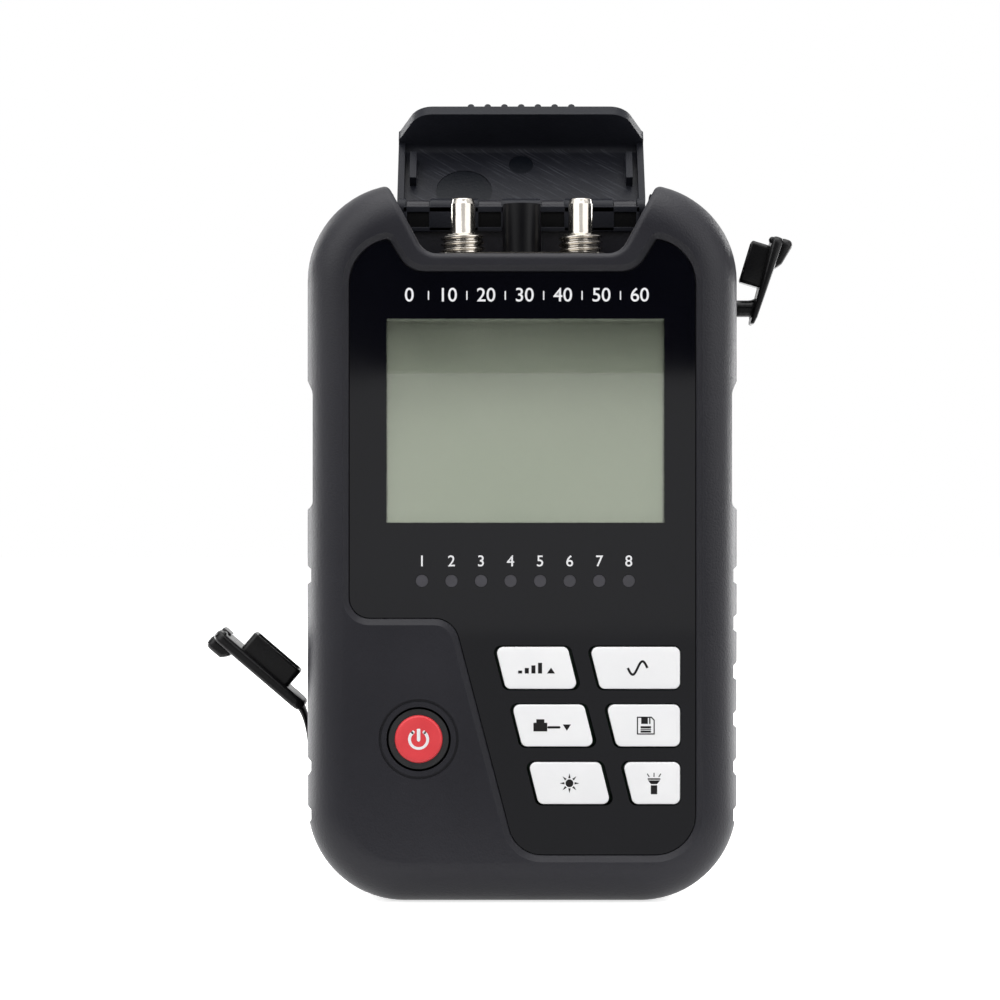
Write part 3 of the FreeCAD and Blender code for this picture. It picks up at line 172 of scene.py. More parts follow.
FLAGS = {
    "flag_above_lens": (0.004, 0.16, (-0.535, 0.1150), (-0.535, 0.40)),
    "card_round_lens": (0.80, 0.70, (-1.05, 0.0), (-1.05, 0.60)),
    "card_on_floor": (0.60, 0.50, (-1.05, 0.0005), (-0.05, 0.0005)),
}
FLAGS = {name: (shade, [(-reach, *foot), (reach, *foot), (reach, *head), (-reach, *head)])
         for name, (shade, reach, foot, head) in FLAGS.items()}
for side, x in (("left", -0.30), ("right", 0.30)):
    FLAGS["flag_" + side] = (0.01, [(x, -0.05, 0.108), (x, 0.26, 0.108), (x, 0.26, 0.34), (x, -0.05, 0.34)])
for name, (shade, corners) in FLAGS.items():
    cloth = bpy.data.meshes.new(name)
    cloth.from_pydata(corners, [], [(0, 1, 2, 3)])
    dye = bpy.data.materials.new(name + "_cloth")
    dye.use_nodes = True
    glow = dye.node_tree.nodes.new("ShaderNodeEmission")
    glow.inputs["Strength"].default_value = shade
    dye.node_tree.links.new(glow.outputs[0], dye.node_tree.nodes["Material Output"].inputs["Surface"])
    cloth.materials.append(dye)
    flag = bpy.data.objects.new(name, cloth)
    bpy.context.collection.objects.link(flag)
    flag.visible_camera = False
    flag.visible_diffuse = False
    flag.visible_shadow = False


# ---------------------------------------------------------------------------
# Case halves: glass-filled plastic moulded in a spark-eroded tool, so that the
# skin is matte and finely grained, with a slightly cloudy sheen from handling.
# ---------------------------------------------------------------------------
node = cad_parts
MM = 0.001


def moulded_grain_group():
    """Grain height from fine noise over an even finer one, and a broad cloudy mask from soft noise."""
    group = bpy.data.node_groups.new("moulded_grain", "ShaderNodeTree")
    group.interface.new_socket("Vector", in_out="INPUT", socket_type="NodeSocketVector")
    group.interface.new_socket("Grain", in_out="INPUT", socket_type="NodeSocketFloat")
    group.interface.new_socket("Cloud", in_out="INPUT", socket_type="NodeSocketFloat")
    group.interface.new_socket("Height", in_out="OUTPUT", socket_type="NodeSocketFloat")
    group.interface.new_socket("Mask", in_out="OUTPUT", socket_type="NodeSocketFloat")
    start = group.nodes.new("NodeGroupInput")
    end = group.nodes.new("NodeGroupOutput")
    for scale, socket, detail in (("Grain", "Height", 2.0), ("Cloud", "Mask", 3.0)):
        noise = group.nodes.new("ShaderNodeTexNoise")
        noise.inputs["Detail"].default_value = detail
        group.links.new(start.outputs["Vector"], noise.inputs["Vector"])
        group.links.new(start.outputs[scale], noise.inputs["Scale"])
        spread = group.nodes.new("ShaderNodeMapRange")
        spread.inputs["From Min"].default_value = 0.3
        spread.inputs["From Max"].default_value = 0.7
        group.links.new(noise.outputs["Fac"], spread.inputs["Value"])
        group.links.new(spread.outputs["Result"], end.inputs[socket])
    return group


MOULDED_GRAIN = moulded_grain_group()


def moulded(name, dark, light, smooth, rough, grain, cloud, relief, **sockets):
    """A Principled finish: colour runs from dark to light and roughness from smooth to rough over the
    cloudy mask, and the grain lifts the skin by the relief. Other sockets are set by name."""
    paint = bpy.data.materials.new(name)
    paint.use_nodes = True
    tree = paint.node_tree
    shader = tree.nodes["Principled BSDF"]
    for socket, amount in sockets.items():
        shader.inputs[socket.replace("_", " ")].default_value = amount
    place = tree.nodes.new("ShaderNodeTexCoord")
    skin = tree.nodes.new("ShaderNodeGroup")
    skin.node_tree = MOULDED_GRAIN
    skin.inputs["Grain"].default_value = grain
    skin.inputs["Cloud"].default_value = cloud
    tree.links.new(place.outputs["Object"], skin.inputs["Vector"])
    colour = tree.nodes.new("ShaderNodeMix")
    colour.data_type = "RGBA"
    colour.inputs["A"].default_value = (*dark, 1)
    colour.inputs["B"].default_value = (*light, 1)
    tree.links.new(skin.outputs["Mask"], colour.inputs["Factor"])
    tree.links.new(colour.outputs["Result"], shader.inputs["Base Color"])
    sheen = tree.nodes.new("ShaderNodeMapRange")
    sheen.inputs["To Min"].default_value = smooth
    sheen.inputs["To Max"].default_value = rough
    tree.links.new(skin.outputs["Mask"], sheen.inputs["Value"])
    tree.links.new(sheen.outputs["Result"], shader.inputs["Roughness"])
    bump = tree.nodes.new("ShaderNodeBump")
    bump.inputs["Distance"].default_value = relief
    tree.links.new(skin.outputs["Height"], bump.inputs["Height"])
    tree.links.new(bump.outputs["Normal"], shader.inputs["Normal"])
    return paint


def dress(paint, *names):
    """Give a finish to CAD nodes."""
    for name in names:
        if not node[name].material_slots:
            node[name].data.materials.append(paint)
        for slot in node[name].material_slots:
            slot.material = paint


case_plastic = moulded("case_plastic", (0.0118, 0.0116, 0.0158), (0.0145, 0.0142, 0.0190), 0.36, 0.46,
                       2600, 45, 0.022 * MM, Specular_IOR_Level=0.25)
dress(case_plastic, "front_case", "back_case")

# ---------------------------------------------------------------------------
# Case screws: four zinc-plated cross-head screws, each drawn from wire and
# rolled, sunk in wells in the back half.
# ---------------------------------------------------------------------------
screw_zinc = moulded("screw_zinc", (0.42, 0.42, 0.43), (0.55, 0.55, 0.55), 0.25, 0.45, 1500, 400, 0.01 * MM,
                     Metallic=1.0)
dress(screw_zinc, "case_screw_1", "case_screw_2", "case_screw_3", "case_screw_4")

# ---------------------------------------------------------------------------
# Display: a black acrylic sheet printed from behind, with a clear window over a
# grey-green liquid crystal glass, and eight smoked light pipes under a printed row.
# ---------------------------------------------------------------------------
panel_acrylic = moulded("panel_acrylic", (0.0016, 0.0017, 0.0034), (0.0024, 0.0025, 0.0044), 0.04, 0.08,
                        60, 30, 0.0004 * MM, Specular_IOR_Level=0.38)
dress(panel_acrylic, "display_panel")
PANEL_BEVEL = 0.16 * MM
panel_mesh = node["display_panel"].data.copy()
panel_mesh.name = "panel_sheet"
whole = bmesh.new()
whole.from_mesh(panel_mesh)
bmesh.ops.remove_doubles(whole, verts=whole.verts, dist=0.001 * MM)
bmesh.ops.recalc_face_normals(whole, faces=whole.faces)
whole.to_mesh(panel_mesh)
whole.free()
panel_sheet = bpy.data.objects.new("panel_sheet", panel_mesh)
bpy.context.collection.objects.link(panel_sheet)
panel_edge = panel_sheet.modifiers.new("polished_edge", "BEVEL")
panel_edge.width = PANEL_BEVEL
panel_edge.segments = 2
panel_edge.limit_method = "ANGLE"
panel_edge.angle_limit = math.radians(50)
panel_mesh.shade_flat()
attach(panel_sheet, "case")
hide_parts("display_panel")
window_acrylic = moulded("window_acrylic", (0.97, 0.98, 0.97), (1.0, 1.0, 1.0), 0.0, 0.03,
                         60, 40, 0.0001 * MM, Transmission_Weight=1.0, IOR=1.42)
dress(window_acrylic, "lcd_window")
lcd_polariser = moulded("lcd_polariser", (0.450, 0.495, 0.390), (0.470, 0.515, 0.410), 0.10, 0.15,
                        3000, 35, 0.002 * MM, Metallic=0.76)
dress(lcd_polariser, "lcd_glass")
light_guide = moulded("light_guide", (0.70, 0.72, 0.70), (0.80, 0.82, 0.80), 0.4, 0.5, 900, 60, 0.01 * MM)
dress(light_guide, "lcd_backlight")
smoked_pipe = moulded("smoked_pipe", (0.040, 0.039, 0.046), (0.050, 0.048, 0.058), 0.35, 0.45, 3000, 300,
                      0.01 * MM)
dress(smoked_pipe, "light_pipes")

INK_DEPTH = 0.02 * MM
FIGURE_HEIGHT = 0.70


def capsule(start, end, width, steps=7):
    """Outline of a round-ended bar: half circles of half the width about both ends, in one turn."""
    start, end = np.array(start, float), np.array(end, float)
    angle = math.atan2(*(end - start)[::-1])
    swing = np.linspace(-math.pi / 2, math.pi / 2, steps)
    head = end + width / 2 * np.stack([np.cos(angle + swing), np.sin(angle + swing)], 1)
    tail = start - width / 2 * np.stack([np.cos(angle + swing), np.sin(angle + swing)], 1)
    return np.concatenate([head, tail])


def finished(name, vertices, faces, paint, body, stands_for=(), crease=35):
    """Make a mesh piece from arrays, face it outward, smooth it below the crease angle and seat it on its
    body. A piece with no body is left unattached."""
    mesh = bpy.data.meshes.new(name)
    mesh.from_pydata(np.asarray(vertices, float).tolist(), [], faces)
    shell = bmesh.new()
    shell.from_mesh(mesh)
    bmesh.ops.remove_doubles(shell, verts=shell.verts, dist=0.0005 * MM)
    bmesh.ops.recalc_face_normals(shell, faces=shell.faces)
    shell.to_mesh(mesh)
    shell.free()
    mesh.materials.append(paint)
    mesh.shade_smooth()
    mesh.set_sharp_from_angle(angle=math.radians(crease))
    made = bpy.data.objects.new(name, mesh)
    bpy.context.collection.objects.link(made)
    if body:
        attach(made, body)
    if stands_for:
        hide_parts(*stands_for)
    return made


def printed(name, outlines, face, paint, body):
    """Ink films: each outline, in millimetres across and up, becomes a thin plate on the face at one Y."""
    vertices, faces, first = [], [], 0
    for outline in outlines:
        outline = np.asarray(outline, float) * MM
        count = len(outline)
        for depth in (face - INK_DEPTH, face + INK_DEPTH * 0.5):
            vertices.append(np.stack([outline[:, 0], np.full(count, depth), outline[:, 1]], 1))
        ring = np.arange(count)
        ahead = np.roll(ring, -1)
        faces.append((first + ring).tolist())
        faces.append((first + count + ring[::-1]).tolist())
        sides = first + ring, first + count + ring, first + count + ahead, first + ahead
        faces += np.stack(sides, 1).tolist()
        first += 2 * count
    return finished(name, np.concatenate(vertices), faces, paint, body)


def lettered(name, words, places, height, face, paint, body):
    """Plain numbers: each is set in the stock font, made a mesh, scaled to its height and laid on the face."""
    vertices, faces, first = [], [], 0
    for word, (across, up) in zip(words, places):
        curve = bpy.data.curves.new(name, "FONT")
        curve.body = word
        curve.align_x = "CENTER"
        curve.size = 1.0
        curve.offset = 0.006
        holder = bpy.data.objects.new(name, curve)
        drawn = bpy.data.meshes.new_from_object(holder)
        flat = np.empty(len(drawn.vertices) * 3)
        drawn.vertices.foreach_get("co", flat)
        flat = flat.reshape(-1, 3)
        scale = height / FIGURE_HEIGHT
        flat = np.stack([flat[:, 0] * scale + across, np.full(len(flat), face - INK_DEPTH),
                         flat[:, 1] * scale + up], 1)
        vertices.append(flat)
        faces += [[first + i for i in polygon.vertices] for polygon in drawn.polygons]
        first += len(flat)
        bpy.data.objects.remove(holder)
    mesh = bpy.data.meshes.new(name)
    mesh.from_pydata(np.concatenate(vertices).tolist(), [], faces)
    film = bmesh.new()
    film.from_mesh(mesh)
    bmesh.ops.recalc_face_normals(film, faces=film.faces)
    whole = bmesh.ops.extrude_face_region(film, geom=film.faces[:])
    bmesh.ops.translate(film, vec=(0, INK_DEPTH * 1.5, 0),
                        verts=[v for v in whole["geom"] if isinstance(v, bmesh.types.BMVert)])
    bmesh.ops.recalc_face_normals(film, faces=film.faces)
    film.to_mesh(mesh)
    film.free()
    mesh.materials.append(paint)
    made = bpy.data.objects.new(name, mesh)
    bpy.context.collection.objects.link(made)
    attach(made, body)
    return made


panel_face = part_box("display_panel")[0][1]
pipe_low, pipe_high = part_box("light_pipes")
lamp_pitch = (pipe_high[0] - pipe_low[0]) / 8
lamp_middle = (pipe_high[0] + pipe_low[0]) / 2
lamp_height = (pipe_high[2] + pipe_low[2]) / 2
white_ink = moulded("white_ink", (0.78, 0.78, 0.80), (0.84, 0.84, 0.85), 0.35, 0.45, 4000, 500, 0.002 * MM)
lettered("lamp_numbers", [str(i + 1) for i in range(8)],
         [(lamp_middle + (i - 3.5) * lamp_pitch, lamp_height + 2.55 * MM) for i in range(8)],
         1.9 * MM, panel_face, white_ink, "case")
SCALE_STEPS = 7
SCALE_SPAN, SCALE_MIDDLE, SCALE_FOOT = 40.0 * MM, 0.35 * MM, 104.75 * MM
scale_places = [(SCALE_MIDDLE + (i / (SCALE_STEPS - 1) - 0.5) * SCALE_SPAN, SCALE_FOOT)
                for i in range(SCALE_STEPS)]
lettered("scale_numbers", [str(10 * i) for i in range(SCALE_STEPS)], scale_places, 2.35 * MM, panel_face,
         white_ink, "case")
half_step, tick_foot = SCALE_SPAN / MM / (SCALE_STEPS - 1) * 0.5, SCALE_FOOT / MM
scale_ticks = [capsule((x / MM + half_step, tick_foot + 0.35), (x / MM + half_step, tick_foot + 1.7), 0.22)
               for x, _ in scale_places[:-1]]
printed("scale_ticks", scale_ticks, panel_face, white_ink, "case")

# ---------------------------------------------------------------------------
# Key mat: the black silicone sheet behind the panel, compression moulded, with a
# dull skin that takes no polish.
# ---------------------------------------------------------------------------
mat_rubber = moulded("mat_rubber", (0.010, 0.010, 0.011), (0.014, 0.014, 0.015), 0.5, 0.65, 2000, 80,
                     0.02 * MM, Specular_IOR_Level=0.35)
dress(mat_rubber, "keypad_mat")

# ---------------------------------------------------------------------------
# White keys: six silicone keys with a white painted top under a hard clear skin;
# the symbols are printed in near-black before that skin goes on.
# ---------------------------------------------------------------------------
KEY_FLANGE, KEY_SLANT, KEY_DEPTH = 0.8 * MM, 0.26, 2.6 * MM
KEY_ROUND, KEY_EDGE, KEY_CROWN = 1.1 * MM, 0.22 * MM, 0.05 * MM
KEY_SWELL = np.array([(-0.36, -0.14), (0.26, -0.14), (0.26, 0.14), (-0.36, 0.14)]) * MM


def disc(centre, radius, steps=32):
    """Outline of a disc: one turn of sine and cosine."""
    swing = np.linspace(0, 2 * math.pi, steps, endpoint=False)
    return np.array(centre) + radius * np.stack([np.cos(swing), np.sin(swing)], 1)


def wave_ribbon(centre, length, height, width, turns, steps=60):
    """Outline of a sine line with thickness: each side stands off by half the width along the normal."""
    run = np.linspace(-0.5, 0.5, steps)
    line = np.stack([run * length, height * np.sin(2 * math.pi * turns * run)], 1)
    slope = np.gradient(line, axis=0)
    side = np.stack([-slope[:, 1], slope[:, 0]], 1) / np.linalg.norm(slope, axis=1, keepdims=True)
    return np.array(centre) + np.concatenate([line - side * width / 2, (line + side * width / 2)[::-1]])


def rounded_ring(corners, radius, inset, steps=7):
    """Outline with round corners: each arc centre lies one radius in from both sides, and its arc, of
    radius less inset, swings from one side's normal to the next side's."""
    corners = np.asarray(corners, float)
    into = corners - np.roll(corners, 1, axis=0)
    out = np.roll(corners, -1, axis=0) - corners
    into /= np.linalg.norm(into, axis=1, keepdims=True)
    out /= np.linalg.norm(out, axis=1, keepdims=True)
    normal_in = np.stack([into[:, 1], -into[:, 0]], 1)
    normal_out = np.stack([out[:, 1], -out[:, 0]], 1)
    bend = np.sum(normal_in * normal_out, 1, keepdims=True)
    centre = corners - radius * (normal_in + normal_out) / (1 + bend)
    start = np.arctan2(normal_in[:, 1], normal_in[:, 0])[:, None]
    sweep = np.arccos(np.clip(bend, -1, 1))
    swing = start + sweep * np.linspace(0, 1, steps)[None, :]
    arc = np.stack([np.cos(swing), np.sin(swing)], 2) * (radius - inset)
    return (centre[:, None, :] + arc).reshape(-1, 2)


def rings_to_solid(rings):
    """Join equal rings of points in order and close both ends with a face."""
    rings = np.asarray(rings)
    levels, count = rings.shape[:2]
    index = np.arange(levels * count).reshape(levels, count)
    near, far = index[:-1], index[1:]
    faces = np.stack([near, np.roll(near, -1, 1), np.roll(far, -1, 1), far], 2).reshape(-1, 4).tolist()
    return rings.reshape(-1, 3), faces + [index[0].tolist(), index[-1].tolist()]


def key_corners(name, slanted_right):
    """The four corners of a key's face, found inside its flange and swelled to fill its window."""
    low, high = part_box(name)
    bottom, top = low[2] + KEY_FLANGE, high[2] - KEY_FLANGE
    lean = (top - bottom) / 2 * KEY_SLANT
    reach = lean + KEY_FLANGE * (1 + KEY_SLANT)
    left = low[0] + reach
    right = high[0] - (reach if slanted_right else KEY_FLANGE)
    right_lean = lean if slanted_right else 0.0
    plain = [(left + lean, bottom), (right + right_lean, bottom), (right - right_lean, top), (left - lean, top)]
    return np.array(plain) + KEY_SWELL


def key_solid(corners, front, back):
    """Sides straight up, a quarter-circle edge, then a crown that falls with the square of the way out."""
    rings = []
    turn = np.linspace(0, math.pi / 2, 6)
    steps = [(0.0, back)]
    steps += [(KEY_EDGE * (1 - math.cos(a)), front + KEY_CROWN + KEY_EDGE * (1 - math.sin(a))) for a in turn]
    for inset, depth in steps:
        ring = rounded_ring(corners, KEY_ROUND, inset)
        rings.append(np.stack([ring[:, 0], np.full(len(ring), depth), ring[:, 1]], 1))
    edge = rings[-1]
    middle = edge.mean(axis=0)
    for share in (0.8, 0.6, 0.4, 0.2, 0.05):
        ring = middle + (edge - middle) * share
        ring[:, 1] = front + KEY_CROWN * share ** 2
        rings.append(ring)
    return rings_to_solid(rings)


key_paint = moulded("key_paint", (0.86, 0.86, 0.87), (0.90, 0.90, 0.905), 0.30, 0.38, 1800, 70, 0.006 * MM,
                    Coat_Weight=0.15, Coat_Roughness=0.2)
key_ink = moulded("key_ink", (0.006, 0.005, 0.0055), (0.009, 0.008, 0.0085), 0.35, 0.45, 4000, 400, 0.001 * MM,
                  Specular_IOR_Level=0.22)
KEYS = {"key_reference": True, "key_wavelength": False, "key_cable_test": True, "key_save": False,
        "key_backlight": True, "key_torch": False}
key_middle, key_front = {}, {}
for name, slanted_right in KEYS.items():
    low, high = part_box(name)
    corners = key_corners(name, slanted_right)
    key_front[name] = low[1]
    key_middle[name] = np.mean(corners, axis=0) / MM
    vertices, faces = key_solid(corners, low[1], low[1] + KEY_DEPTH)
    finished(name + "_top", vertices, faces, key_paint, name, stands_for=(name,))

x, z = key_middle["key_reference"]
printed("mark_level_up", [[(x - 3.2 + 1.15 * i, z - 0.95), (x - 2.5 + 1.15 * i, z - 0.95),
                           (x - 2.5 + 1.15 * i, z - 0.45 + 0.45 * i), (x - 3.2 + 1.15 * i, z - 0.45 + 0.45 * i)]
                          for i in range(4)] + [[(x + 1.8, z - 0.95), (x + 3.2, z - 0.95), (x + 2.5, z + 0.05)]],
        key_front["key_reference"], key_ink, "key_reference")
x, z = key_middle["key_wavelength"]
printed("mark_wave", [wave_ribbon((x, z), 3.4, 1.15, 0.40, 1.0)], key_front["key_wavelength"], key_ink,
        "key_wavelength")
x, z = key_middle["key_cable_test"]
plug = [(x - 3.4, z - 1.0), (x - 1.0, z - 1.0), (x - 1.0, z + 0.5), (x - 1.5, z + 0.5), (x - 1.5, z + 1.1),
        (x - 2.9, z + 1.1), (x - 2.9, z + 0.5), (x - 3.4, z + 0.5)]
printed("mark_socket", [plug, capsule((x - 0.8, z - 0.3), (x + 1.1, z - 0.3), 0.4),
                        [(x + 1.7, z + 0.2), (x + 2.4, z - 0.9), (x + 3.1, z + 0.2)]],
        key_front["key_cable_test"], key_ink, "key_cable_test")
x, z = key_middle["key_save"]
edge, notch = 1.45, 0.95
floppy = [capsule((x - edge, z - edge), (x - edge, z + edge), 0.2),
          capsule((x + edge, z - edge), (x + edge, z + notch), 0.2),
          capsule((x - edge, z - edge), (x + edge, z - edge), 0.2),
          capsule((x - edge, z + edge), (x + notch, z + edge), 0.2),
          capsule((x + notch, z + edge), (x + edge, z + notch), 0.2),
          [(x - 0.8, z + 0.3), (x + 0.35, z + 0.3), (x + 0.35, z + edge), (x - 0.8, z + edge)],
          [(x + 0.58, z + 0.3), (x + 0.8, z + 0.3), (x + 0.8, z + edge), (x + 0.58, z + edge)],
          [(x - 0.9, z - 1.2), (x + 0.9, z - 1.2), (x + 0.9, z - 0.86), (x - 0.9, z - 0.86)],
          [(x - 0.9, z - 0.74), (x + 0.9, z - 0.74), (x + 0.9, z - 0.6), (x - 0.9, z - 0.6)],
          [(x - 0.9, z - 0.48), (x + 0.9, z - 0.48), (x + 0.9, z - 0.1), (x - 0.9, z - 0.1)]]
printed("mark_disk", floppy, key_front["key_save"], key_ink, "key_save")
x, z = key_middle["key_backlight"]
sun = [disc((x, z), 0.68)]
for i in range(8):
    along = np.array((math.cos(math.pi * i / 4), math.sin(math.pi * i / 4)))
    across = np.array((-along[1], along[0]))
    middle = np.array((x, z))
    foot = middle + along * 0.88
    sun.append([foot - across * 0.2, middle + along * 1.7, foot + across * 0.2])
printed("mark_sun", sun, key_front["key_backlight"], key_ink, "key_backlight")
x, z = key_middle["key_torch"]
lamp_mark = [[(x - 0.55, z - 1.9), (x + 0.55, z - 1.9), (x + 0.55, z - 0.35), (x - 0.55, z - 0.35)],
             [(x - 0.5, z - 0.15), (x + 0.5, z - 0.15), (x + 1.05, z + 0.5), (x - 1.05, z + 0.5)],
             [(x - 1.1, z + 0.62), (x + 1.1, z + 0.62), (x + 1.1, z + 0.86), (x - 1.1, z + 0.86)],
             capsule((x - 0.85, z + 1.15), (x - 1.15, z + 1.6), 0.16),
             capsule((x, z + 1.15), (x, z + 1.75), 0.16),
             capsule((x + 0.85, z + 1.15), (x + 1.15, z + 1.6), 0.16)]
printed("mark_torch", lamp_mark, key_front["key_torch"], key_ink, "key_torch")

# ---------------------------------------------------------------------------
# Power key: a red moulded disc pressed into a black silicone collar, with the
# ring-and-bar sign printed in white.
# ---------------------------------------------------------------------------
def ring_sector(centre, radius, width, start, end, steps=40):
    """Outline of part of a ring: the outer arc one way, then the inner arc back."""
    swing = np.radians(np.linspace(start, end, steps))
    arc = np.stack([np.cos(swing), np.sin(swing)], 1)
    return np.array(centre) + np.concatenate([arc * (radius + width / 2), arc[::-1] * (radius - width / 2)])


key_silicone = moulded("key_silicone", (0.008, 0.008, 0.009), (0.012, 0.012, 0.013), 0.38, 0.5, 2200, 120,
                       0.01 * MM, Specular_IOR_Level=0.4)
dress(key_silicone, "power_key_collar")
red_plastic = moulded("red_plastic", (0.69, 0.030, 0.040), (0.73, 0.038, 0.048), 0.35, 0.45, 2600, 200,
                      0.010 * MM)
power_low, power_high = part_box("power_key_cap")
power_middle = (power_low[0] + power_high[0]) / 2, (power_low[2] + power_high[2]) / 2
power_radius = (power_high[0] - power_low[0]) / 2
POWER_TURN = 96
turn = np.linspace(0, 2 * math.pi, POWER_TURN, endpoint=False)
POWER_EDGE, POWER_DISH = 0.55 * MM, 0.12 * MM
profile = [(power_radius, power_high[1])]
profile += [(power_radius - POWER_EDGE * (1 - math.cos(a)), power_low[1] + POWER_EDGE * (1 - math.sin(a)))
            for a in np.linspace(0, math.pi / 2, 8)]
profile += [((power_radius - POWER_EDGE) * share, power_low[1] + POWER_DISH * (1 - share ** 2))
            for share in (0.8, 0.6, 0.4, 0.2, 0.02)]
vertices, faces = rings_to_solid([np.stack([power_middle[0] + r * np.cos(turn), np.full(POWER_TURN, y),
                                            power_middle[1] + r * np.sin(turn)], 1) for r, y in profile])
finished("power_disc", vertices, faces, red_plastic, "power_key", stands_for=("power_key_cap",))
x, z = np.array(power_middle) / MM
SIGN_RADIUS, SIGN_WIDTH, SIGN_DROP, SIGN_START, SIGN_END = 1.62, 0.62, 0.05, 128, 412
sign = [ring_sector((x, z - SIGN_DROP), SIGN_RADIUS, SIGN_WIDTH, SIGN_START, SIGN_END)]
for end in (SIGN_START, SIGN_END - 360):
    sign.append(disc((x + SIGN_RADIUS * math.cos(math.radians(end)),
                      z - SIGN_DROP + SIGN_RADIUS * math.sin(math.radians(end))), SIGN_WIDTH / 2))
sign.append(capsule((x, z - 0.1), (x, z + 1.75), 0.6))
printed("power_sign", sign, power_low[1] + POWER_DISH * 0.9, white_ink, "power_key")

# ---------------------------------------------------------------------------
# Main board: glass-fibre board with green solder mask, one moulded chip and a
# sounder on its back.
# ---------------------------------------------------------------------------
solder_mask = moulded("solder_mask", (0.010, 0.090, 0.035), (0.018, 0.120, 0.050), 0.25, 0.4, 1800, 150,
                      0.01 * MM)
dress(solder_mask, "main_board")
chip_epoxy = moulded("chip_epoxy", (0.012, 0.012, 0.012), (0.020, 0.020, 0.020), 0.5, 0.65, 3000, 300,
                     0.01 * MM)
dress(chip_epoxy, "control_chip", "buzzer", "charge_tongue")

# ---------------------------------------------------------------------------
# Fibre ports: two nickel-plated brass adapters turned with an external thread,
# a white ceramic sleeve in each, and a thin nickel strip between them.
# ---------------------------------------------------------------------------
nickel = moulded("nickel_plate", (0.50, 0.47, 0.425), (0.56, 0.525, 0.48), 0.13, 0.20, 2500, 260, 0.003 * MM,
                 Metallic=1.0)
dress(nickel, "port_bracket", "charge_socket")
ceramic = moulded("ceramic", (0.82, 0.82, 0.78), (0.88, 0.88, 0.85), 0.12, 0.2, 2500, 200, 0.002 * MM)
dress(ceramic, "detector_ceramic_sleeve", "laser_ceramic_sleeve")
module_steel = moulded("module_steel", (0.40, 0.40, 0.41), (0.50, 0.50, 0.51), 0.25, 0.4, 1500, 200, 0.004 * MM,
                       Metallic=1.0)
dress(module_steel, "detector_module", "laser_module")
THREAD_PITCH, THREAD_DEPTH, THREAD_LENGTH, THREAD_CREST = 1.08 * MM, 0.50 * MM, 3.5 * MM, 3.95 * MM
SLEEVE_RADIUS, SLEEVE_BORE, ADAPTER_TURN = 2.18 * MM, 1.62 * MM, 128


def adapter_surface(name):
    """Turned body about Z: the radius falls from the thread's crest by a rounded saw wave that climbs one
    pitch per turn, then steps in to the sleeve, whose rim is chamfered and rolled into the bore."""
    low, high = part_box(name)
    middle = (low[0] + high[0]) / 2, (low[1] + high[1]) / 2
    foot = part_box("port_bracket")[1][2]
    shoulder = foot + THREAD_LENGTH
    around = np.linspace(0, 2 * math.pi, ADAPTER_TURN, endpoint=False)
    heights = np.concatenate([[low[2] + 0.02 * MM], [foot - 1.2 * MM],
                              np.linspace(foot - 1.0 * MM, shoulder, 110)])
    phase = (heights[:, None] - foot) / THREAD_PITCH - around[None, :] / (2 * math.pi)
    wave = 0.5 - 0.5 * np.cos(2 * math.pi * phase)
    wave = np.clip(1.25 * wave - 0.12, 0, 1)
    runout = np.clip((shoulder - heights) / (0.45 * MM), 0, 1)[:, None]
    radius = THREAD_CREST - THREAD_DEPTH * wave - (1 - runout) ** 2 * 0.45 * MM
    upper = [(2.9 * MM, shoulder + 0.04 * MM), (2.5 * MM, shoulder + 0.05 * MM),
             (SLEEVE_RADIUS + 0.1 * MM, shoulder + 0.08 * MM),
             (SLEEVE_RADIUS, shoulder + 0.2 * MM), (SLEEVE_RADIUS, high[2] - 0.95 * MM),
             (SLEEVE_RADIUS - 0.03 * MM, high[2] - 0.90 * MM), (SLEEVE_RADIUS - 0.07 * MM, high[2] - 0.85 * MM),
             (SLEEVE_RADIUS - 0.22 * MM, high[2] - 0.18 * MM), (SLEEVE_RADIUS - 0.30 * MM, high[2] - 0.05 * MM),
             (SLEEVE_RADIUS - 0.40 * MM, high[2]), (SLEEVE_BORE + 0.08 * MM, high[2]),
             (SLEEVE_BORE, high[2] - 0.08 * MM), (SLEEVE_BORE, low[2] + 0.02 * MM)]
    radius = np.concatenate([radius, np.repeat([[r] for r, _ in upper], ADAPTER_TURN, axis=1)])
    heights = np.concatenate([heights, [z for _, z in upper]])
    rings = np.stack([middle[0] + radius * np.cos(around), middle[1] + radius * np.sin(around),
                      np.repeat(heights[:, None], ADAPTER_TURN, axis=1)], 2)
    index = np.arange(len(heights) * ADAPTER_TURN).reshape(-1, ADAPTER_TURN)
    far = np.roll(index, -1, axis=0)
    faces = np.stack([index, np.roll(index, -1, 1), np.roll(far, -1, 1), far], 2).reshape(-1, 4).tolist()
    return rings.reshape(-1, 3), faces


for name in ("detector_adapter", "laser_adapter"):
    vertices, faces = adapter_surface(name)
    finished(name + "_turned", vertices, faces, nickel, "case", stands_for=(name,), crease=50)

# ---------------------------------------------------------------------------
# Torch: an aluminium tube, turned and anodised black, with a clear domed lens over
# a lamp cast in pale epoxy.
# ---------------------------------------------------------------------------
black_anodised = moulded("black_anodised", (0.002, 0.002, 0.003), (0.003, 0.003, 0.004), 0.28, 0.36, 3000, 200,
                         0.004 * MM, Specular_IOR_Level=0.16)
dress(black_anodised, "torch_tube")
lens_clear = moulded("lens_clear", (0.95, 0.96, 0.96), (1.0, 1.0, 1.0), 0.0, 0.04, 300, 100, 0.0005 * MM,
                     Transmission_Weight=1.0, IOR=1.49)
dress(lens_clear, "torch_lens")
lamp_epoxy = moulded("lamp_epoxy", (0.75, 0.72, 0.45), (0.85, 0.82, 0.60), 0.2, 0.3, 800, 200, 0.002 * MM)
dress(lamp_epoxy, "torch_led")
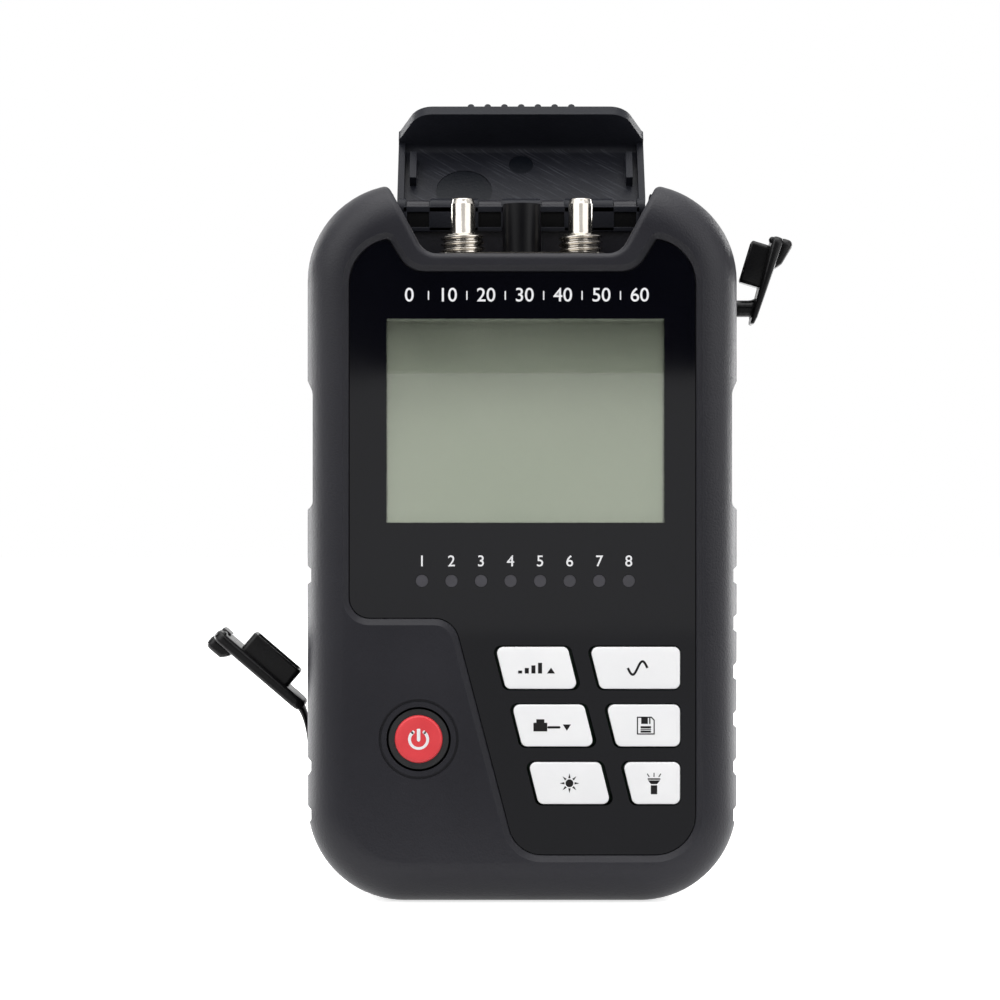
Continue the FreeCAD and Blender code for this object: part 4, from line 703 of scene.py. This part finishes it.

# ---------------------------------------------------------------------------
# Port cap: a moulded lid with a front wall, grained outside. Its inside shows the
# scratches of the tool's core and two smooth ejector marks, and it turns on a steel
# pin behind a strip with four windows, backed by a black plate that is painted shade.
# ---------------------------------------------------------------------------
CAP_AXIS, CAP_OPEN = np.array((0.0, 11.0, 123.0)) * MM, math.radians(127)
CAP_INSIDE = 1.4 * MM
CAP_MARKS = {"large": ((-10.5, -6.2), 5.1), "small": ((0.0, -12.9), 2.25)}
cap_plastic = moulded("cap_plastic", (0.0105, 0.0112, 0.0155), (0.0135, 0.0145, 0.0195), 0.34, 0.44,
                      2400, 60, 0.018 * MM, Specular_IOR_Level=0.13)
tree = cap_plastic.node_tree
links, shader = tree.links, tree.nodes["Principled BSDF"]


def math_step(operation, first, second=None):
    """One math step on two values or sockets."""
    step = tree.nodes.new("ShaderNodeMath")
    step.operation = operation
    for slot, value in zip(step.inputs, (first, second)):
        if hasattr(value, "is_linked"):
            links.new(value, slot)
        elif value is not None:
            slot.default_value = value
    return step.outputs[0]


place = tree.nodes.new("ShaderNodeTexCoord")
shift = tree.nodes.new("ShaderNodeMapping")
shift.inputs["Location"].default_value = tuple(-CAP_AXIS)
links.new(place.outputs["Object"], shift.inputs["Vector"])
shut = tree.nodes.new("ShaderNodeMapping")
shut.inputs["Rotation"].default_value = (CAP_OPEN, 0, 0)
links.new(shift.outputs[0], shut.inputs["Vector"])
part = tree.nodes.new("ShaderNodeSeparateXYZ")
links.new(shut.outputs[0], part.inputs[0])
off_inside = math_step("ABSOLUTE", math_step("SUBTRACT", part.outputs["Z"], CAP_INSIDE))
on_inside = math_step("LESS_THAN", off_inside, 0.4 * MM)
marks = None
for (across, along), radius in CAP_MARKS.values():
    side = math_step("POWER", math_step("SUBTRACT", part.outputs["X"], across * MM), 2.0)
    run = math_step("POWER", math_step("SUBTRACT", part.outputs["Y"], along * MM), 2.0)
    inside = math_step("LESS_THAN", math_step("SQRT", math_step("ADD", side, run)), radius * MM)
    marks = inside if marks is None else math_step("MAXIMUM", marks, inside)
marks = math_step("MULTIPLY", marks, on_inside)
slant = tree.nodes.new("ShaderNodeMapping")
slant.inputs["Rotation"].default_value = (0, 0, math.radians(-36))
links.new(shut.outputs[0], slant.inputs["Vector"])
stretch = tree.nodes.new("ShaderNodeMapping")
stretch.inputs["Scale"].default_value = (140, 3400, 140)
links.new(slant.outputs[0], stretch.inputs["Vector"])
scratch = tree.nodes.new("ShaderNodeTexNoise")
scratch.inputs["Scale"].default_value = 1.0
scratch.inputs["Detail"].default_value = 3.0
links.new(stretch.outputs[0], scratch.inputs["Vector"])
streak = tree.nodes.new("ShaderNodeMapRange")
streak.inputs["From Min"].default_value = 0.54
streak.inputs["From Max"].default_value = 0.76
links.new(scratch.outputs["Fac"], streak.inputs["Value"])
streaks = math_step("MULTIPLY", streak.outputs[0], on_inside)
streaks = math_step("MULTIPLY", streaks, math_step("SUBTRACT", 1.0, marks))
old_colour = shader.inputs["Base Color"].links[0].from_socket
for mask, colour in ((streaks, (0.044, 0.047, 0.056, 1)), (marks, (0.0035, 0.0048, 0.0078, 1))):
    blend = tree.nodes.new("ShaderNodeMix")
    blend.data_type = "RGBA"
    blend.inputs["B"].default_value = colour
    links.new(mask, blend.inputs["Factor"])
    links.new(old_colour, blend.inputs["A"])
    old_colour = blend.outputs["Result"]
links.new(old_colour, shader.inputs["Base Color"])
dress(cap_plastic, "port_cap")
pin_steel = moulded("pin_steel", (0.40, 0.40, 0.41), (0.50, 0.50, 0.50), 0.25, 0.4, 1500, 200, 0.004 * MM,
                    Metallic=1.0)
dress(pin_steel, "cap_hinge_pin")


def plate_rings(corners, radius, edge, near, far, steps=4):
    """Rings of a rounded plate along Y: each edge turns through a quarter circle at both faces."""
    turn = np.linspace(0, math.pi / 2, steps)
    levels = [(edge * (1 - math.sin(a)), near + edge * (1 - math.cos(a))) for a in turn]
    levels += [(edge * (1 - math.cos(a)), far - edge * (1 - math.sin(a))) for a in turn]
    return [np.insert(rounded_ring(corners, radius, inset), 1, depth, axis=1) for inset, depth in levels]


def upright(left, right, bottom, top):
    """The four corners of an upright rectangle: millimetres in, metres out."""
    return np.array([(left, bottom), (right, bottom), (right, top), (left, top)]) * MM


STRIP_FOOT, STRIP_HEAD, STRIP_FRONT, STRIP_HALF = 118.7, 123.25, 5.35, 21.3
WINDOWS = [(-20.7, -16.7), (-7.8, -3.7), (3.5, 7.7), (16.7, 20.7)]
rails = [(-STRIP_HALF, STRIP_HALF, 122.2, STRIP_HEAD), (-STRIP_HALF, STRIP_HALF, STRIP_FOOT, 119.5)]
edges = [-STRIP_HALF] + [x for window in WINDOWS for x in window] + [STRIP_HALF]
rails += [(left, right, STRIP_FOOT + 0.1, STRIP_HEAD - 0.1) for left, right in zip(edges[::2], edges[1::2])]
vertices, faces, first = [], [], 0
for rail in rails:
    rings = plate_rings(upright(*rail), 0.16 * MM, 0.10 * MM, STRIP_FRONT * MM, (STRIP_FRONT + 0.4) * MM)
    rail_vertices, rail_faces = rings_to_solid(rings)
    vertices.append(rail_vertices)
    faces += [[first + i for i in face] for face in rail_faces]
    first += len(rail_vertices)
finished("hinge_strip", np.concatenate(vertices), faces, cap_plastic, "case")
# Behind the strip's windows, a matt black plate is painted shade: it darkens the windows where the hinge recess
# lies in shadow.
painted_shade_black = moulded("painted_shade_black", (0.0015, 0.0015, 0.0018), (0.0022, 0.0022, 0.0026), 0.5, 0.6, 2400, 80,
                      0.01 * MM, Specular_IOR_Level=0.1)
painted_shade_outline = upright(-STRIP_HALF + 0.2, STRIP_HALF - 0.2, STRIP_FOOT + 0.2, STRIP_HEAD - 0.2)
vertices, faces = rings_to_solid(plate_rings(painted_shade_outline, 0.3 * MM, 0.1 * MM, (STRIP_FRONT + 0.36) * MM,
                                             (STRIP_FRONT + 0.6) * MM))
finished("hinge_painted_shade", vertices, faces, painted_shade_black, "case")

# ---------------------------------------------------------------------------
# Network jack: a black moulded housing. Its contacts and the battery's are stamped
# springs with gold plate.
# ---------------------------------------------------------------------------
jack_plastic = moulded("jack_plastic", (0.010, 0.010, 0.010), (0.015, 0.015, 0.015), 0.35, 0.5, 2500, 150,
                       0.01 * MM)
dress(jack_plastic, "network_jack")
gold_plate = moulded("gold_plate", (0.72, 0.50, 0.18), (0.80, 0.58, 0.24), 0.18, 0.3, 2500, 300, 0.002 * MM,
                     Metallic=1.0)
dress(gold_plate, "jack_contacts", "battery_contacts")

# ---------------------------------------------------------------------------
# Rubber covers: black rubber flaps, compression moulded with soft edges, each with
# a hollow plug inside, a pull lip outside and a bead at its free end. One hangs
# on a tongue that bends, the other on a round stalk that slides out of the case.
# ---------------------------------------------------------------------------
cover_rubber = moulded("cover_rubber", (0.0042, 0.0042, 0.0046), (0.0062, 0.0061, 0.0066), 0.22, 0.30,
                       2200, 90, 0.010 * MM, Specular_IOR_Level=0.22)
dress(cover_rubber, "network_jack_cover", "network_cover_strap", "charge_socket_cover", "charge_cover_stalk")


def flap_place(axis, angle, outward):
    """From along, across and outward, in millimetres, to the open place: a turn about an axis along Y."""
    along = np.array((math.sin(angle), 0, math.cos(angle)))
    out = outward * np.array((math.cos(angle), 0, -math.sin(angle)))
    return lambda points: (np.array(axis) + points[:, :1] * along + points[:, 1:2] * np.array((0, 1, 0))
                           + points[:, 2:] * out) * MM


def soft_block(along, across, out, corner, edge, steps=5):
    """A block whose outline has round corners and whose two faces are edged by quarter circles."""
    corners = [(along[0], across[0]), (along[1], across[0]), (along[1], across[1]), (along[0], across[1])]
    turn = np.linspace(0, math.pi / 2, steps)
    levels = [(edge * (1 - math.sin(a)), out[0] + edge * (1 - math.cos(a))) for a in turn]
    levels += [(edge * (1 - math.cos(a)), out[1] - edge * (1 - math.sin(a))) for a in turn]
    rings = [np.insert(rounded_ring(corners, corner, inset), 2, level, axis=1) for inset, level in levels]
    return rings_to_solid(rings)


def hollow_plug(along, across, base, rim, floor, corner, wall, edge=0.35, steps=5):
    """A cup: its wall rises from the base, rolls over the rim in two quarter circles and falls to the
    floor."""
    corners = [(along[0], across[0]), (along[1], across[0]), (along[1], across[1]), (along[0], across[1])]
    turn = np.linspace(0, math.pi / 2, steps)
    sign = 1 if rim > base else -1
    levels = [(0.0, base)] + [(edge * (1 - math.cos(a)), rim - sign * edge * (1 - math.sin(a))) for a in turn]
    levels += [(wall - edge * (1 - math.sin(a)), rim - sign * edge * (1 - math.cos(a))) for a in turn]
    levels += [(wall, floor)]
    rings = [np.insert(rounded_ring(corners, corner, min(inset, corner * 0.93)), 2, level, axis=1)
             for inset, level in levels]
    return rings_to_solid(rings)


def bead(along, out, radius, across, steps=16):
    """A short round bar along Y with domed ends: the radius follows a quarter circle at each end."""
    turn = np.linspace(0, 2 * math.pi, steps, endpoint=False)
    dome = np.linspace(0.12, math.pi / 2, 4)
    levels = [(radius * math.sin(a), across[0] + radius * (1 - math.cos(a))) for a in dome]
    levels += [(radius * math.sin(a), across[1] - radius * (1 - math.cos(a))) for a in dome[::-1]]
    rings = [np.stack([along + r * np.cos(turn), np.full(steps, y), out + r * np.sin(turn)], 1)
             for r, y in levels]
    return rings_to_solid(rings)


def wedge(points, start, run, foot, least):
    """Thin a lip towards its root: its height over the foot is scaled by the way along it."""
    points = points.copy()
    points[:, 2] = foot + (points[:, 2] - foot) * np.clip((points[:, 0] - start) / run, least, 1)
    return points


def flap(name, place, plate, plug, lip, end_bead, end_wall, body, stands_for):
    """Join the parts of one cover, put them in place and make them one piece."""
    parts = []
    vertices, faces = soft_block(*plate[:5])
    vertices[:, 2] *= np.clip((vertices[:, 0] - plate[5]) / 3.4, 0.4, 1)
    parts.append((vertices, faces))
    parts.append(hollow_plug(*plug))
    vertices, faces = soft_block(*lip[:5])
    parts.append((wedge(vertices, lip[5], lip[6], lip[2][0], 0.12), faces))
    parts.append(bead(*end_bead))
    if end_wall:
        parts.append(soft_block(*end_wall))
    all_vertices, all_faces, first = [], [], 0
    for vertices, faces in parts:
        all_vertices.append(place(vertices))
        all_faces += [[first + i for i in face] for face in faces]
        first += len(vertices)
    return finished(name, np.concatenate(all_vertices), all_faces, cover_rubber, body,
                    stands_for=stands_for, crease=50)


JACK_AXIS, JACK_TURN = (-38.0, 2.0, 32.4), math.radians(-49.5)
flap("network_flap", flap_place(JACK_AXIS, JACK_TURN, -1),
     ((1.4, 21.7), (-5.2, 5.2), (-1.05, 1.0), 1.9, 0.75, -2.5),
     ((5.8, 16.6), (-3.1, 3.1), -0.6, -4.6, -1.3, 1.0, 0.75),
     ((17.2, 21.9), (-3.6, 3.6), (0.3, 2.9), 1.3, 0.95, 15.4, 3.0),
     (20.4, -0.95, 0.45, (-4.7, -2.2)),
     ((19.5, 21.5), (-0.4, 5.0), (-1.4, 0.0), 0.9, 0.3), "network_cover", ("network_jack_cover",))
CHARGE_AXIS, CHARGE_TURN = (41.8, 0.0, 104.4), math.radians(17)
flap("charge_flap", flap_place(CHARGE_AXIS, CHARGE_TURN, 1),
     ((-3.0, 13.2), (-3.6, 3.6), (-1.0, 1.0), 1.3, 0.7, -3.4),
     ((3.6, 11.4), (-1.9, 1.9), -0.6, -4.3, -1.6, 0.8, 0.6),
     ((7.6, 13.3), (-2.7, 2.7), (0.3, 2.8), 1.2, 0.9, 6.4, 3.6),
     (12.3, -0.95, 0.6, (-3.4, -1.4)), None, "charge_cover", ("charge_socket_cover",))


def tongue(path, widths, depths, steps=24, round_steps=8):
    """A tapering band: its middle line is a cubic of Bernstein weights through the four path points, and
    each section is a flat oval whose half width and half depth fall evenly along the line."""
    t = np.linspace(0, 1, steps)[:, None]
    path = np.array(path, float)
    weights = np.concatenate([(1 - t) ** 3, 3 * t * (1 - t) ** 2, 3 * t ** 2 * (1 - t), t ** 3], 1)
    line = weights @ path
    slope = np.gradient(line, axis=0)
    slope /= np.linalg.norm(slope, axis=1, keepdims=True)
    normal = np.stack([slope[:, 2], np.zeros(steps), -slope[:, 0]], 1)
    around = np.linspace(0, 2 * math.pi, 4 * round_steps, endpoint=False)

    def square(wave):
        """A wave whose size is raised to a power under one, so that an oval fills out its corners."""
        return np.sign(wave) * np.abs(wave) ** 0.55

    half = np.interp(t[:, 0], (0, 1), widths)
    deep = np.interp(t[:, 0], (0, 1), depths)
    rings = (line[:, None, :] + (half[:, None] * square(np.cos(around)))[:, :, None] * np.array((0, 1, 0))
             + (deep[:, None] * square(np.sin(around)))[:, :, None] * normal[:, None, :]) * MM
    return rings_to_solid(rings)


vertices, faces = tongue([(-40.9, 2.0, 34.9), (-39.3, 2.0, 33.5), (-38.45, 2.0, 31.6), (-38.15, 2.0, 27.2)],
                         (4.2, 1.9), (0.80, 0.22))
strap = finished("network_tongue", vertices, faces, cover_rubber, None,
                 stands_for=("network_cover_strap",), crease=60)
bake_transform(strap)
NECK_TURN = 32
turn = np.linspace(0, 2 * math.pi, NECK_TURN, endpoint=False)
neck = [(0.4, 34.6), (1.45, 34.7), (1.5, 34.9), (1.5, 40.4), (1.56, 40.9), (1.7, 41.3), (1.9, 41.6),
        (1.8, 41.9), (0.4, 42.0)]
vertices, faces = rings_to_solid([np.stack([np.full(NECK_TURN, x), r * np.cos(turn),
                                            CHARGE_AXIS[2] + r * np.sin(turn)], 1) * MM for r, x in neck])
finished("charge_neck", vertices, faces, cover_rubber, "charge_stalk",
         stands_for=("charge_cover_stalk",), crease=50)

# ---------------------------------------------------------------------------
# Battery: a cell in blue shrink film behind a door moulded in the same grained
# plastic as the case.
# ---------------------------------------------------------------------------
shrink_film = moulded("shrink_film", (0.06, 0.11, 0.24), (0.08, 0.14, 0.30), 0.25, 0.35, 600, 80, 0.01 * MM)
dress(shrink_film, "battery_pack")
dress(case_plastic, "battery_door")
